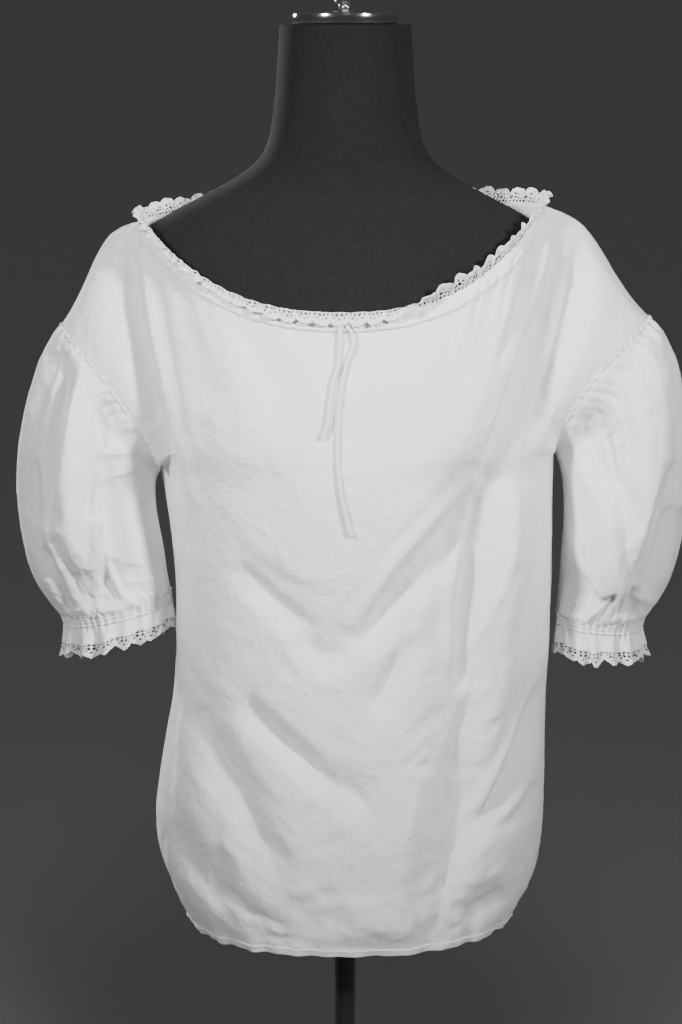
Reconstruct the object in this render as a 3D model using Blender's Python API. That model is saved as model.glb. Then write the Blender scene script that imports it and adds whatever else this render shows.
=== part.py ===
"""A cotton peasant blouse worn by a limbless dress form, at real size.

Metres, +Z up, floor at Z = 0. The front faces -Y and the form's axis is the Z axis.
Left and right are the wearer's, so the right sleeve lies at -X.
Tables are in millimetres, with their columns named above them.
"""
import math
from collections import namedtuple

import bmesh
import bpy
from mathutils import Vector

MM = 0.001

# Cloth and seams
CLOTH_WALL = 1.4 * MM
BAND_WALL = 1.1 * MM
LACE_WALL = 1.2 * MM
SEAM_GAP = 0.3 * MM
SEAM_HALF = 0.5 * SEAM_GAP
BAND_GAP = 0.35 * MM
SLEEVE_SEAM_GAP = 0.7 * MM
CUFF_SEAM_GAP = 0.8 * MM
LACE_SEAM_GAP = 0.5 * MM
CUFF_LACE_SEAM_GAP = 0.75 * MM
FRILL_SEAM_GAP = 0.45 * MM

# Grid of each panel: 36 columns, 12 of them outside the neckline
PANEL_COLUMNS = 36
SHOULDER_COLUMNS = 6
SKIRT_ROWS = 12
HEM_DEPTH_SHARE = 0.038
YOKE_ROWS = 8
YOKE_MIDDLE_ROWS = (0, 0.14, 0.28, 0.42, 0.56, 0.68, 0.79, 0.90, 1.0)

# The body of the blouse below the underarm, a ring for each level.
# z at the right side, middle and left side, x at both sides, y at front and back, squareness.
BODY_COLUMNS = ("z_right", "z_middle", "z_left", "x_right", "x_left", "y_front", "y_back", "square")
BODY_RINGS = {
    "hem": (708, 707, 724, -148, 164, -116, 104, 2.3),
    "hem turn": (748, 746, 756, -169, 183, -122, 110, 2.3),
    "hip": (805, 805, 808, -183, 191, -125, 114, 2.25),
    "low waist": (870, 870, 872, -176, 192, -124, 112, 2.2),
    "waist": (940, 940, 944, -164, 193, -122, 108, 2.2),
    "rib": (1028, 1028, 1034, -161, 196, -123, 104, 2.15),
    "under bust": (1098, 1098, 1108, -166, 196, -127, 105, 2.1),
    "underarm": (1150, 1156, 1166, -174, 196, -129, 107, 2.05),
}

# The neckline's corners, and its lowest point at the front and back
NECK_CORNER_RIGHT = Vector((-186, 0, 1382)) * MM
NECK_CORNER_LEFT = Vector((182, 0, 1396)) * MM
NECK_FRONT_MIDDLE = Vector((0, -97, 1304)) * MM
NECK_BACK_MIDDLE = Vector((0, 82, 1393)) * MM
NECK_SCOOP = 2.6
NECK_ROUND = 0.9

# The shoulder line from the neckline's corner to the top of the armhole: x and z of each knot
SHOULDER_RIGHT = ((-186, 1382), (-207, 1376), (-224, 1362), (-238, 1334), (-252, 1306), (-265, 1285))
SHOULDER_LEFT = ((182, 1396), (206, 1387), (226, 1372), (244, 1344), (264, 1314), (284, 1292))

# The armhole's depth to the front and back, and how far its sides curve in to the body
ARMHOLE_FRONT = 50 * MM
ARMHOLE_BACK = 50 * MM
ARMHOLE_INSET_RIGHT = 13 * MM
ARMHOLE_INSET_LEFT = -20 * MM

# How far the yoke swells over the chest, at its middle and below the neckline's corners
YOKE_SWELL_MIDDLE = 5 * MM
YOKE_SWELL_CORNER = 24 * MM
YOKE_SWELL_FULL_AT = 0.7
YOKE_SWELL_ROUND = 0.65
EDGE_HOLD_FROM = 0.45
YOKE_SOFTENING = 3

# Puckers that the drawstring gathers below its casing, and their share of depth on each yoke row
PUCKER_DEPTH = 1.3 * MM
PUCKER_FADE = (0, 0, 0, 0, 0.15, 0.45, 1.0, 0.25, 0)
PUCKER_UNEVEN = 0.3
PUCKER_UNEVEN_STEP = 2.3

# Folds of the front and back: a bent line from x0, z0 over x1, z1 to x2, z2 in front view,
# its half width, and its depth, which is negative for a trough
Fold = namedtuple("Fold", ("x0", "z0", "x1", "z1", "x2", "z2", "half_width", "depth"))
FRONT_FOLDS = {
    "right shoulder drape": (-202, 1362, -186, 1290, -164, 1165, 15, -9),
    "right chest drape": (-150, 1350, -146, 1290, -118, 1225, 17, -8),
    "right soft drape": (-86, 1290, -74, 1264, -55, 1225, 17, -4),
    "left long trough": (180, 1362, 170, 1275, 128, 1172, 15, -15),
    "left shoulder ridge": (192, 1362, 184, 1280, 146, 1196, 12, 8),
    "left outer trough": (209, 1356, 195, 1275, 160, 1195, 13, -12),
    "left neck drape": (140, 1340, 128, 1290, 92, 1235, 18, -4),
    "bust drag right": (-104, 1086, -66, 1056, -26, 1022, 15, -6),
    "bust drag middle": (-42, 1020, -20, 998, 6, 1020, 14, -6),
    "bust drag left": (4, 1004, 58, 1070, 126, 1152, 20, -10),
    "left side trough": (128, 1170, 109, 1060, 108, 955, 24, -14),
    "left side ridge": (156, 1152, 154, 1082, 122, 992, 20, 9),
    "left low trough": (107, 960, 101, 850, 82, 744, 20, -12),
    "left side crease": (178, 950, 152, 880, 104, 800, 16, -9),
    "middle crease": (22, 942, 40, 975, 64, 1017, 14, -6),
    "low diagonal": (-94, 955, -42, 908, 22, 852, 15, -9),
    "low right crease": (-136, 940, -94, 850, -62, 780, 18, -9),
    "hem tuck left": (150, 760, 128, 748, 110, 733, 14, -6),
    "hem swell": (-6, 752, 32, 742, 66, 738, 18, 6),
    "right hem crease": (-160, 822, -134, 790, -96, 752, 15, -6),
}
BACK_FOLDS = {
    "left shoulder drape": (204, 1360, 186, 1280, 166, 1170, 16, -10),
    "left blade drape": (148, 1350, 138, 1280, 104, 1190, 18, -7),
    "right shoulder drape": (-200, 1356, -188, 1280, -160, 1180, 16, -8),
    "right blade drape": (-132, 1352, -122, 1270, -98, 1180, 19, -7),
    "middle back drape": (20, 1350, 12, 1240, -8, 1120, 22, -6),
    "left side trough": (136, 1150, 122, 1040, 116, 900, 24, -11),
    "left side ridge": (160, 1140, 154, 1030, 148, 880, 20, 7),
    "right side trough": (-124, 1130, -112, 1010, -118, 880, 24, -11),
    "waist drag right": (-90, 1060, -40, 1015, 16, 990, 18, -7),
    "waist drag left": (22, 1000, 70, 1040, 118, 1104, 18, -7),
    "low middle trough": (6, 950, -6, 850, 4, 744, 24, -8),
    "low left trough": (96, 890, 86, 820, 92, 740, 19, -8),
    "low right trough": (-92, 900, -104, 820, -90, 744, 20, -8),
    "low right crease": (-160, 870, -130, 820, -112, 772, 16, -6),
}
FOLD_END_SHARE = 0.25
SIDE_HOLD_COLUMNS = 4
TOP_HOLD_ROWS = 2

# The sleeves: their outer and inner edges in front view, and their reach to front and back
SLEEVE_COLUMNS = ("x_outer", "z_outer", "x_inner", "z_inner", "y_front", "y_back")
SLEEVE_RIGHT = {
    "armhole": (-265, 1285, -174, 1150, -50, 50),
    "cap": (-281, 1262, -179, 1138, -62, 60),
    "upper puff": (-296, 1221, -180, 1122, -71, 68),
    "full puff": (-308, 1168, -178, 1103, -77, 73),
    "middle puff": (-310, 1118, -175, 1084, -78, 74),
    "lower puff": (-305, 1076, -172, 1066, -73, 70),
    "turn": (-294, 1040, -170, 1049, -62, 60),
    "casing": (-271, 1009, -167, 1032, -47, 47),
}
SLEEVE_LEFT = {
    "armhole": (284, 1292, 196, 1166, -50, 50),
    "cap": (301, 1271, 203, 1150, -62, 60),
    "upper puff": (314, 1236, 206, 1130, -71, 68),
    "full puff": (321, 1184, 207, 1106, -77, 73),
    "middle puff": (322, 1128, 206, 1082, -79, 75),
    "lower puff": (318, 1078, 205, 1060, -75, 71),
    "turn": (307, 1038, 204, 1036, -64, 61),
    "casing": (285, 1006, 202, 1011, -46, 46),
}
SLEEVE_COLUMN_COUNT = 32
SLEEVE_ROWS = (0, 0.05, 0.13, 0.23, 0.34, 0.46, 0.58, 0.69, 0.79, 0.88, 0.95, 1.0)

# Gathers of a sleeve: share along the sleeve, and how deep they are there
GATHER_COUNT = 16
GATHER_DEPTH = ((0, 1.0), (0.05, 2.4), (0.13, 3.4), (0.23, 2.8), (0.34, 1.6), (0.46, 0.8), (0.58, 0.8),
                (0.69, 1.6), (0.79, 2.8), (0.88, 3.4), (0.95, 2.6), (1.0, 1.2))
GATHER_UNEVEN = 0.25
GATHER_UNEVEN_STEP = 1.9

# Folds of the sleeves: from turn0 round the sleeve and run0 along it to turn1 and run1.
# A turn is a share of the way round, 0 at the shoulder, 0.25 in front and 0.5 at the body.
SleeveFold = namedtuple("SleeveFold", ("turn0", "run0", "turn1", "run1", "half_width", "depth"))
SLEEVE_RIGHT_FOLDS = {
    "outer trough": (0.06, 0.10, 0.10, 0.62, 13, -8),
    "second trough": (0.14, 0.10, 0.19, 0.58, 12, -8),
    "front ridge": (0.23, 0.30, 0.22, 0.80, 14, 5),
    "deep fold": (0.28, 0.30, 0.24, 0.92, 13, -10),
    "inner fold": (0.38, 0.22, 0.35, 0.86, 12, -8),
    "back trough": (0.90, 0.10, 0.84, 0.66, 14, -8),
    "back fold": (0.74, 0.24, 0.70, 0.88, 14, -9),
    "back inner fold": (0.62, 0.20, 0.64, 0.84, 12, -6),
}
SLEEVE_LEFT_FOLDS = {
    "front trough": (0.30, 0.06, 0.33, 0.44, 13, -9),
    "curved trough": (0.24, 0.08, 0.26, 0.34, 11, -6),
    "front swell": (0.20, 0.30, 0.19, 0.66, 24, 5),
    "outer crease": (0.10, 0.34, 0.14, 0.94, 13, -7),
    "low crease": (0.22, 0.70, 0.20, 0.96, 11, -6),
    "inner crease": (0.40, 0.30, 0.38, 0.90, 13, -7),
    "back trough": (0.88, 0.10, 0.82, 0.60, 14, -8),
    "back fold": (0.72, 0.20, 0.70, 0.86, 14, -9),
    "back outer crease": (0.94, 0.36, 0.92, 0.92, 13, -6),
}
SLEEVE_TURN_LENGTH = 460 * MM
SLEEVE_RUN_LENGTH = 220 * MM
SLEEVE_FOLD_END_SHARE = 0.3
SLEEVE_TOP_HOLD = 0.08
SLEEVE_LOW_HOLD = 0.06

# Share of the folds kept where the sleeve lies on the body, and how far round that reaches
BODY_SIDE_HOLD = 0.25
BODY_SIDE_TURN = 0.2

# The cuffs below the sleeves, with the sleeves' columns
CUFF_RIGHT = {
    "casing top": (-271, 1009, -167, 1032, -47, 47),
    "casing low": (-268, 998, -166, 1021, -45, 45),
    "frill low": (-268, 981, -165, 1008, -48, 48),
    "lace low": (-270, 969, -164, 999, -50, 50),
}
CUFF_LEFT = {
    "casing top": (285, 1006, 202, 1011, -46, 46),
    "casing low": (283, 995, 202, 1000, -44, 44),
    "frill low": (285, 979, 202, 983, -48, 48),
    "lace low": (287, 967, 202, 971, -50, 50),
}
CASING_TOP_LEVEL = 0
CASING_LOW_LEVEL = 1 / 3
FRILL_MIDDLE_LEVEL = 1 / 2
FRILL_LOW_LEVEL = 2 / 3
CASING_RIPPLE = 0.7 * MM
FRILL_MIDDLE_RIPPLE = 1.6 * MM
FRILL_RIPPLE = 2.0 * MM
RIPPLE_UNEVEN = 0.2
RIPPLE_UNEVEN_STEP = 2.7
CUFF_SCALLOPS = 20

# The scalloped edging
LACE_HEIGHT = 15 * MM
CUFF_LACE_HEIGHT = 12 * MM
NECK_FRONT_SCALLOPS = 32
NECK_BACK_SCALLOPS = 28
LACE_VALLEY = 0.55
LACE_SHOULDER_AT = 0.28
LACE_HOLE_HALF = 2.5 * MM
LACE_HOLE_LOW = 0.14
LACE_HOLE_HIGH = 0.50

# How far the edging leans out over the cloth, in degrees, along the front neckline from -1 to 1
LACE_LEAN = ((-1.0, 10), (-0.85, 25), (-0.6, 95), (-0.3, 128), (0.0, 122), (0.22, 70), (0.4, 22),
             (0.7, 8), (1.0, 5))
LACE_LEAN_BACK = 6
LACE_LEAN_OVER = 60
LACE_OVER_RISE = 1.1 * MM

# The free ends of the drawstring, along the front of the blouse
STRING_DIAMETER = 3.2 * MM
STRING_POINT_SPACING = 3 * STRING_DIAMETER
STRING_STEPS = 200
STRING_BEVEL = 2
STRING_LONG = ((1, -103.2, 1297), (6, -105.2, 1288), (7, -107.6, 1278), (2, -110.8, 1266),
               (-2, -114.4, 1252), (-4, -118.2, 1238), (-6, -122.0, 1221), (-7, -124.8, 1206),
               (-7, -127.2, 1191), (-7, -129.4, 1177), (-6, -130.7, 1163), (-4, -131.2, 1147),
               (0, -131.0, 1128), (5, -130.2, 1109))
STRING_SHORT = ((-5, -103.2, 1297), (-5, -106.2, 1284), (-6, -109.4, 1272), (-7, -112.6, 1260),
                (-11, -115.6, 1249), (-14, -120.4, 1230), (-15, -123.2, 1219), (-16, -125.2, 1210),
                (-21, -127.4, 1197))

# The dress form: half width, reach to the front and back, and squareness at each height
FORM_COLUMNS = ("z", "half_width", "y_front", "y_back", "square")
FORM_RINGS = {
    "underside": (768, 140, -92, 92, 2.2),
    "lower edge": (774, 152, -101, 101, 2.2),
    "hip": (812, 160, -109, 98, 2.2),
    "low waist": (880, 151, -104, 94, 2.2),
    "waist": (985, 124, -88, 80, 2.1),
    "rib": (1060, 132, -98, 86, 2.1),
    "bust": (1165, 148, -116, 95, 2.1),
    "upper bust": (1225, 156, -111, 93, 2.1),
    "armpit": (1272, 176, -101, 90, 2.0),
    "chest": (1312, 191, -91, 86, 1.95),
    "shoulder end": (1345, 200, -81, 81, 1.85),
    "shoulder": (1368, 190.5, -72, 75, 1.72),
    "shoulder slope": (1388, 164, -66, 71, 1.65),
    "trapezius": (1408, 126, -60, 67, 1.65),
    "neck base": (1428, 92, -58, 65, 1.85),
    "low neck": (1450, 73, -58, 62, 2.0),
    "neck": (1492, 65, -58, 58, 2.0),
    "neck top": (1560, 60, -58, 54, 2.0),
}
FORM_COLUMN_COUNT = 28
CAP_RADIUS = 49 * MM
CAP_BOTTOM = 1560.3 * MM
CAP_TOP = 1571 * MM
CAP_BEVEL = 2 * MM
KNOB_RADIUS = 12 * MM
KNOB_STEM_RADIUS = 6 * MM
KNOB_STEM_TOP = 1579 * MM
KNOB_TOP = 1600 * MM
POLE_RADIUS = 10 * MM
POLE_BOTTOM = 26.3 * MM
POLE_TOP = 767.7 * MM
BASE_RADIUS = 160 * MM
BASE_EDGE_TOP = 10 * MM
BASE_BEVEL_WIDTH = 6 * MM
BASE_BEVEL_HEIGHT = 4 * MM
BASE_DOME_RADIUS = 60 * MM
BASE_DOME_TOP = 16 * MM
BASE_BOSS_RADIUS = 20 * MM
BASE_TOP = 26 * MM
ROUND_SIDES = 32
KNOB_SIDES = 12
KNOB_BALL_STEPS = 7

# Edges sharper than this stay sharp
CLOTH_EDGE_ANGLE = math.radians(50)
STAND_EDGE_ANGLE = math.radians(35)

# How far below a point of the body its own direction out is measured from, on the form's axis
AXIS_DROP = 20 * MM


def read_table(columns, rows):
    """Turn a table's rows into a list of values for each named column."""
    return {name: [row[i] for row in rows.values()] for i, name in enumerate(columns)}


BODY = read_table(BODY_COLUMNS, BODY_RINGS)


def clear_scene():
    for item in list(bpy.data.objects):
        bpy.data.objects.remove(item, do_unlink=True)


def material(name, color, roughness, metallic=0.0):
    made = bpy.data.materials.new(name)
    made.use_nodes = True
    shader = made.node_tree.nodes["Principled BSDF"]
    shader.inputs["Base Color"].default_value = (*color, 1.0)
    shader.inputs["Roughness"].default_value = roughness
    shader.inputs["Metallic"].default_value = metallic
    return made


def cotton(name):
    return material(name, (0.86, 0.86, 0.84), 0.85)


def crochet(name):
    return material(name, (0.88, 0.88, 0.86), 0.9)


def spline(values, share):
    """Read a smooth curve through evenly spaced values, with share from 0 to 1."""
    last = len(values) - 1
    place = min(max(share, 0.0), 1.0) * last
    i = min(int(place), last - 1)
    t = place - i
    a = values[max(i - 1, 0)]
    b = values[i]
    c = values[i + 1]
    d = values[min(i + 2, last)]
    slope_b = 0.5 * (c - a)
    slope_c = 0.5 * (d - b)
    return ((2 * t**3 - 3 * t**2 + 1) * b + (t**3 - 2 * t**2 + t) * slope_b
            + (3 * t**2 - 2 * t**3) * c + (t**3 - t**2) * slope_c)


def between(pairs, place):
    """Read a value from (place, value) pairs, with straight lines between them."""
    for (p0, v0), (p1, v1) in zip(pairs, pairs[1:]):
        if place <= p1:
            return v0 + (v1 - v0) * max(place - p0, 0.0) / (p1 - p0)
    return pairs[-1][1]


def smooth(t):
    t = min(max(t, 0.0), 1.0)
    return t * t * (3 - 2 * t)


def uneven(amount, step, place):
    """A share from 1 - 2 * amount to 1 that changes from place to place."""
    return 1 - amount + amount * math.sin(step * place)


def along(points, place):
    """Read a point on a polyline by its fractional index."""
    i = min(int(place), len(points) - 2)
    return points[i].lerp(points[i + 1], place - i)


def rounded(angle, square):
    """Share of the width and of the depth of a rounded ring, at an angle from its middle."""
    width = abs(math.sin(angle)) ** (2 / square)
    depth = abs(math.cos(angle)) ** (2 / square)
    return width, depth


# The blouse's panels: s runs from -1 at the right side to 1 at the left side

def body_point(s, level, face):
    """A point of the body below the underarm, on the front (face -1) or the back (1)."""
    ring = {name: spline(values, level) for name, values in BODY.items()}
    width, depth = rounded(s * math.pi / 2, ring["square"])
    x_side = ring["x_left"] if s > 0 else ring["x_right"]
    z_side = ring["z_left"] if s > 0 else ring["z_right"]
    y_reach = ring["y_front"] if face < 0 else ring["y_back"]
    z = ring["z_middle"] + (z_side - ring["z_middle"]) * s * s
    return Vector((x_side * width, y_reach * depth, z)) * MM


def neckline_point(t, face):
    """A point of the neckline, with t from -1 at its right corner to 1 at its left corner."""
    corner = NECK_CORNER_LEFT if t > 0 else NECK_CORNER_RIGHT
    middle = NECK_FRONT_MIDDLE if face < 0 else NECK_BACK_MIDDLE
    out = math.sin(abs(t) * math.pi / 2)
    depth = max(math.cos(t * math.pi / 2), 0.0) ** NECK_ROUND
    z = middle.z + (corner.z - middle.z) * out ** NECK_SCOOP
    return Vector((corner.x * out, corner.y + (middle.y - corner.y) * depth, z))


def shoulder_point(share, side):
    """A point of the shoulder line, from the neckline's corner at 0 to the armhole at 1."""
    knots = SHOULDER_LEFT if side > 0 else SHOULDER_RIGHT
    x = spline([knot[0] for knot in knots], share)
    z = spline([knot[1] for knot in knots], share)
    return Vector((x, 0, z)) * MM


def top_point(s, face):
    neck_share = 1 - 2 * SHOULDER_COLUMNS / PANEL_COLUMNS
    if abs(s) <= neck_share + 1e-6:
        return neckline_point(s / neck_share, face)
    share = (abs(s) - neck_share) / (1 - neck_share)
    return shoulder_point(share, 1 if s > 0 else -1)


def armhole_point(side, turn):
    """A point of the armhole: turn 0 on the shoulder, 0.25 in front, 0.5 at the underarm."""
    top = top_point(side, -1)
    low = body_point(side, 1, -1)
    angle = 2 * math.pi * turn
    point = (top + low) / 2 + (top - low) / 2 * math.cos(angle)
    inset = ARMHOLE_INSET_LEFT if side > 0 else ARMHOLE_INSET_RIGHT
    point.x += inset * math.sin(angle) ** 2
    reach = ARMHOLE_FRONT if turn < 0.5 else ARMHOLE_BACK
    point.y = -reach * math.sin(angle)
    return point


def yoke_point(s, row, face):
    """A point between the underarm ring (row 0) and the neckline and shoulders (row 8)."""
    edge_share = 0.5 - 0.5 * math.cos(math.pi * row / YOKE_ROWS)
    hold = smooth((abs(s) - EDGE_HOLD_FROM) / (1 - EDGE_HOLD_FROM))
    share = YOKE_MIDDLE_ROWS[row] * (1 - hold) + edge_share * hold
    low = body_point(s, 1, face)
    top = top_point(s, face)
    point = low.lerp(top, share)
    swell = YOKE_SWELL_MIDDLE + (YOKE_SWELL_CORNER - YOKE_SWELL_MIDDLE) * smooth(abs(s) / YOKE_SWELL_FULL_AT)
    point.y += face * swell * max(math.sin(math.pi * share), 0.0) ** YOKE_SWELL_ROUND * (1 - hold)
    side = 1 if s > 0 else -1
    turn = 0.5 - 0.5 * row / YOKE_ROWS
    if face > 0:
        turn = 1 - turn
    straight = body_point(side, 1, face).lerp(top_point(side, face), edge_share)
    return point + (armhole_point(side, turn % 1.0) - straight) * hold


def panel_form(face):
    """The unfolded panel: rows from the hem to the neckline, each from right to left."""
    places = [2 * i / PANEL_COLUMNS - 1 for i in range(PANEL_COLUMNS + 1)]
    levels = [0.0]
    for i in range(SKIRT_ROWS):
        levels.append(HEM_DEPTH_SHARE + (1 - HEM_DEPTH_SHARE) * i / (SKIRT_ROWS - 1))
    rows = [[body_point(s, level, face) for s in places] for level in levels]
    for row in range(1, YOKE_ROWS + 1):
        rows.append([yoke_point(s, row, face) for s in places])
    for _ in range(YOKE_SOFTENING):
        for i in range(SKIRT_ROWS + 2, len(rows) - 1):
            row = rows[i]
            inner = [(a + 2 * b + c) / 4 for a, b, c in zip(row, row[1:], row[2:])]
            rows[i] = [row[0]] + inner + [row[-1]]
    return rows


def normals(rows, closed, inside):
    """Unit directions out of a grid of points, away from the point inside it."""
    count = len(rows[0])
    result = []
    for i, row in enumerate(rows):
        before = rows[max(i - 1, 0)]
        after = rows[min(i + 1, len(rows) - 1)]
        line = []
        for j in range(count):
            left = row[(j - 1) % count] if closed else row[max(j - 1, 0)]
            right = row[(j + 1) % count] if closed else row[min(j + 1, count - 1)]
            direction = (right - left).cross(after[j] - before[j]).normalized()
            if direction.dot(row[j] - inside(row[j])) < 0:
                direction = -direction
            line.append(direction)
        result.append(line)
    return result


def offset(rows, directions, distance):
    return [[p + d * distance for p, d in zip(row, line)] for row, line in zip(rows, directions)]


def fold_depth(folds, point):
    """Sum of the folds at a point, read in front view."""
    total = 0.0
    place = (point.x / MM, point.z / MM)
    for fold in (Fold(*row) for row in folds.values()):
        first = segment_place(place, (fold.x0, fold.z0), (fold.x1, fold.z1))
        second = segment_place(place, (fold.x1, fold.z1), (fold.x2, fold.z2))
        distance, share = min((first[0], 0.5 * first[1]), (second[0], 0.5 + 0.5 * second[1]))
        total += fold_shape(distance, share, fold.half_width, FOLD_END_SHARE) * fold.depth * MM
    return total


def fold_shape(distance, share, half_width, end_share):
    """Share of a fold's depth at a distance from its line, and at a share along it."""
    if distance >= 2 * half_width:
        return 0.0
    across = 0.5 + 0.5 * math.cos(math.pi * distance / (2 * half_width))
    return across * (end_share + (1 - end_share) * math.sin(math.pi * share))


def segment_place(place, start, end):
    """Distance from a place to a segment, and the share along it of the nearest point."""
    run = (end[0] - start[0], end[1] - start[1])
    length = run[0] ** 2 + run[1] ** 2
    share = ((place[0] - start[0]) * run[0] + (place[1] - start[1]) * run[1]) / length
    share = min(max(share, 0.0), 1.0)
    gap_x = place[0] - start[0] - share * run[0]
    gap_z = place[1] - start[1] - share * run[1]
    return math.hypot(gap_x, gap_z), share


def body_axis(point):
    return Vector((0, 0, point.z - AXIS_DROP))


def fold_panel(rows, face):
    """Press the folds and puckers into a panel, and hold its seams where they are."""
    directions = normals(rows, False, body_axis)
    folds = FRONT_FOLDS if face < 0 else BACK_FOLDS
    last = len(rows) - 1
    folded = []
    for i, row in enumerate(rows):
        line = []
        for j, point in enumerate(row):
            side_hold = smooth(min(j, PANEL_COLUMNS - j) / SIDE_HOLD_COLUMNS)
            top_hold = smooth((last - i) / TOP_HOLD_ROWS)
            depth = fold_depth(folds, point) * side_hold * top_hold
            yoke_row = max(i - (last - YOKE_ROWS), 0)
            in_neck = SHOULDER_COLUMNS < j < PANEL_COLUMNS - SHOULDER_COLUMNS
            if in_neck:
                wave = uneven(PUCKER_UNEVEN, PUCKER_UNEVEN_STEP, j) * (1 if j % 2 else -1)
                depth += PUCKER_DEPTH * PUCKER_FADE[yoke_row] * wave
            line.append(point + directions[i][j] * depth)
        folded.append(line)
    return folded


def seam_directions(rows):
    """Directions out of a panel, square to its seams at the sides and shoulders."""
    directions = normals(rows, False, body_axis)
    last = len(rows) - 1
    skirt_last = last - YOKE_ROWS
    for i in range(len(rows)):
        for j in range(PANEL_COLUMNS + 1):
            at_side = j in (0, PANEL_COLUMNS) and (i <= skirt_last or i == last)
            at_shoulder = i == last and not SHOULDER_COLUMNS < j < PANEL_COLUMNS - SHOULDER_COLUMNS
            if at_side or at_shoulder:
                directions[i][j].y = 0
                directions[i][j].normalize()
    return directions


def part_seams(rows, face):
    """Draw a panel back from the seams it shares with the other panel."""
    last = len(rows) - 1
    skirt_last = last - YOKE_ROWS
    for i, row in enumerate(rows):
        for j, point in enumerate(row):
            at_side = j in (0, PANEL_COLUMNS) and (i <= skirt_last or i == last)
            at_shoulder = i == last and not SHOULDER_COLUMNS < j < PANEL_COLUMNS - SHOULDER_COLUMNS
            if at_side or at_shoulder:
                point.y += face * SEAM_HALF


# Solids

def add_mesh(name, points, faces, finish):
    """Make an object of one closed body with its faces out and its round parts smooth."""
    shape = bmesh.new()
    corners = [shape.verts.new(point) for point in points]
    for face in faces:
        shape.faces.new([corners[i] for i in face])
    bmesh.ops.recalc_face_normals(shape, faces=shape.faces)
    mesh = bpy.data.meshes.new(name)
    shape.to_mesh(mesh)
    shape.free()
    mesh.shade_smooth()
    mesh.set_sharp_from_angle(angle=CLOTH_EDGE_ANGLE)
    made = bpy.data.objects.new(name, mesh)
    made.data.materials.append(finish)
    bpy.context.collection.objects.link(made)
    return made


def wall(name, outer, inner, closed, finish):
    """A wall of cloth between two grids of points, closed along its edges."""
    rows = len(outer)
    count = len(outer[0])
    points = [p for row in outer for p in row] + [p for row in inner for p in row]
    skip = rows * count
    faces = []
    spans = count if closed else count - 1
    for i in range(rows - 1):
        for j in range(spans):
            k = (j + 1) % count
            a, b, c, d = i * count + j, i * count + k, (i + 1) * count + k, (i + 1) * count + j
            faces += [(a, b, c), (a, c, d)]
            faces += [(skip + c, skip + b, skip + a), (skip + d, skip + c, skip + a)]
    edges = []
    for i in (0, rows - 1):
        edges += [(i * count + j, i * count + (j + 1) % count) for j in range(spans)]
    if not closed:
        for j in (0, count - 1):
            edges += [(i * count + j, (i + 1) * count + j) for i in range(rows - 1)]
    faces += [(a, b, skip + b) for a, b in edges]
    faces += [(a, skip + b, skip + a) for a, b in edges]
    return add_mesh(name, points, faces, finish)


def build_panel(face):
    """One panel with its neck casing and hem; returns its points and directions."""
    label = "front" if face < 0 else "back"
    rows = fold_panel(panel_form(face), face)
    part_seams(rows, face)
    directions = seam_directions(rows)
    wall(label, rows, offset(rows, directions, -CLOTH_WALL), False, cotton("cotton " + label))
    first = SHOULDER_COLUMNS
    last = PANEL_COLUMNS - SHOULDER_COLUMNS
    band = [row[first:last + 1] for row in rows[-2:]]
    band_out = [line[first:last + 1] for line in directions[-2:]]
    wall("neck_casing_" + label, offset(band, band_out, BAND_GAP + BAND_WALL),
         offset(band, band_out, BAND_GAP), False, cotton("cotton neck casing " + label))
    hem = rows[:2]
    hem_out = directions[:2]
    wall("hem_" + label, offset(hem, hem_out, BAND_GAP + BAND_WALL),
         offset(hem, hem_out, BAND_GAP), False, cotton("cotton hem " + label))
    return rows, directions


# Sleeves and cuffs

def ring_point(table, level, turn):
    """A point of a sleeve's or cuff's rounded tube."""
    ring = {name: spline(values, level) for name, values in table.items()}
    angle = 2 * math.pi * turn
    share = 0.5 + 0.5 * math.cos(angle)
    x = ring["x_inner"] + (ring["x_outer"] - ring["x_inner"]) * share
    z = ring["z_inner"] + (ring["z_outer"] - ring["z_inner"]) * share
    reach = ring["y_front"] if turn < 0.5 else -ring["y_back"]
    return Vector((x, reach * math.sin(angle), z)) * MM


def sleeve_fold_depth(folds, turn, run):
    """Sum of a sleeve's folds at a place on it."""
    total = 0.0
    place = (turn * SLEEVE_TURN_LENGTH, run * SLEEVE_RUN_LENGTH)
    for fold in (SleeveFold(*row) for row in folds.values()):
        start = (fold.turn0 * SLEEVE_TURN_LENGTH, fold.run0 * SLEEVE_RUN_LENGTH)
        end = (fold.turn1 * SLEEVE_TURN_LENGTH, fold.run1 * SLEEVE_RUN_LENGTH)
        distance, share = segment_place(place, start, end)
        total += fold_shape(distance, share, fold.half_width * MM, SLEEVE_FOLD_END_SHARE) * fold.depth * MM
    return total


def gather(turn, column):
    """A gather's wave round a sleeve: 0 in the stitches and 1 between them, not quite even."""
    wave = 0.5 - 0.5 * math.cos(2 * math.pi * GATHER_COUNT * turn)
    return wave * uneven(GATHER_UNEVEN, GATHER_UNEVEN_STEP, column)


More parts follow.
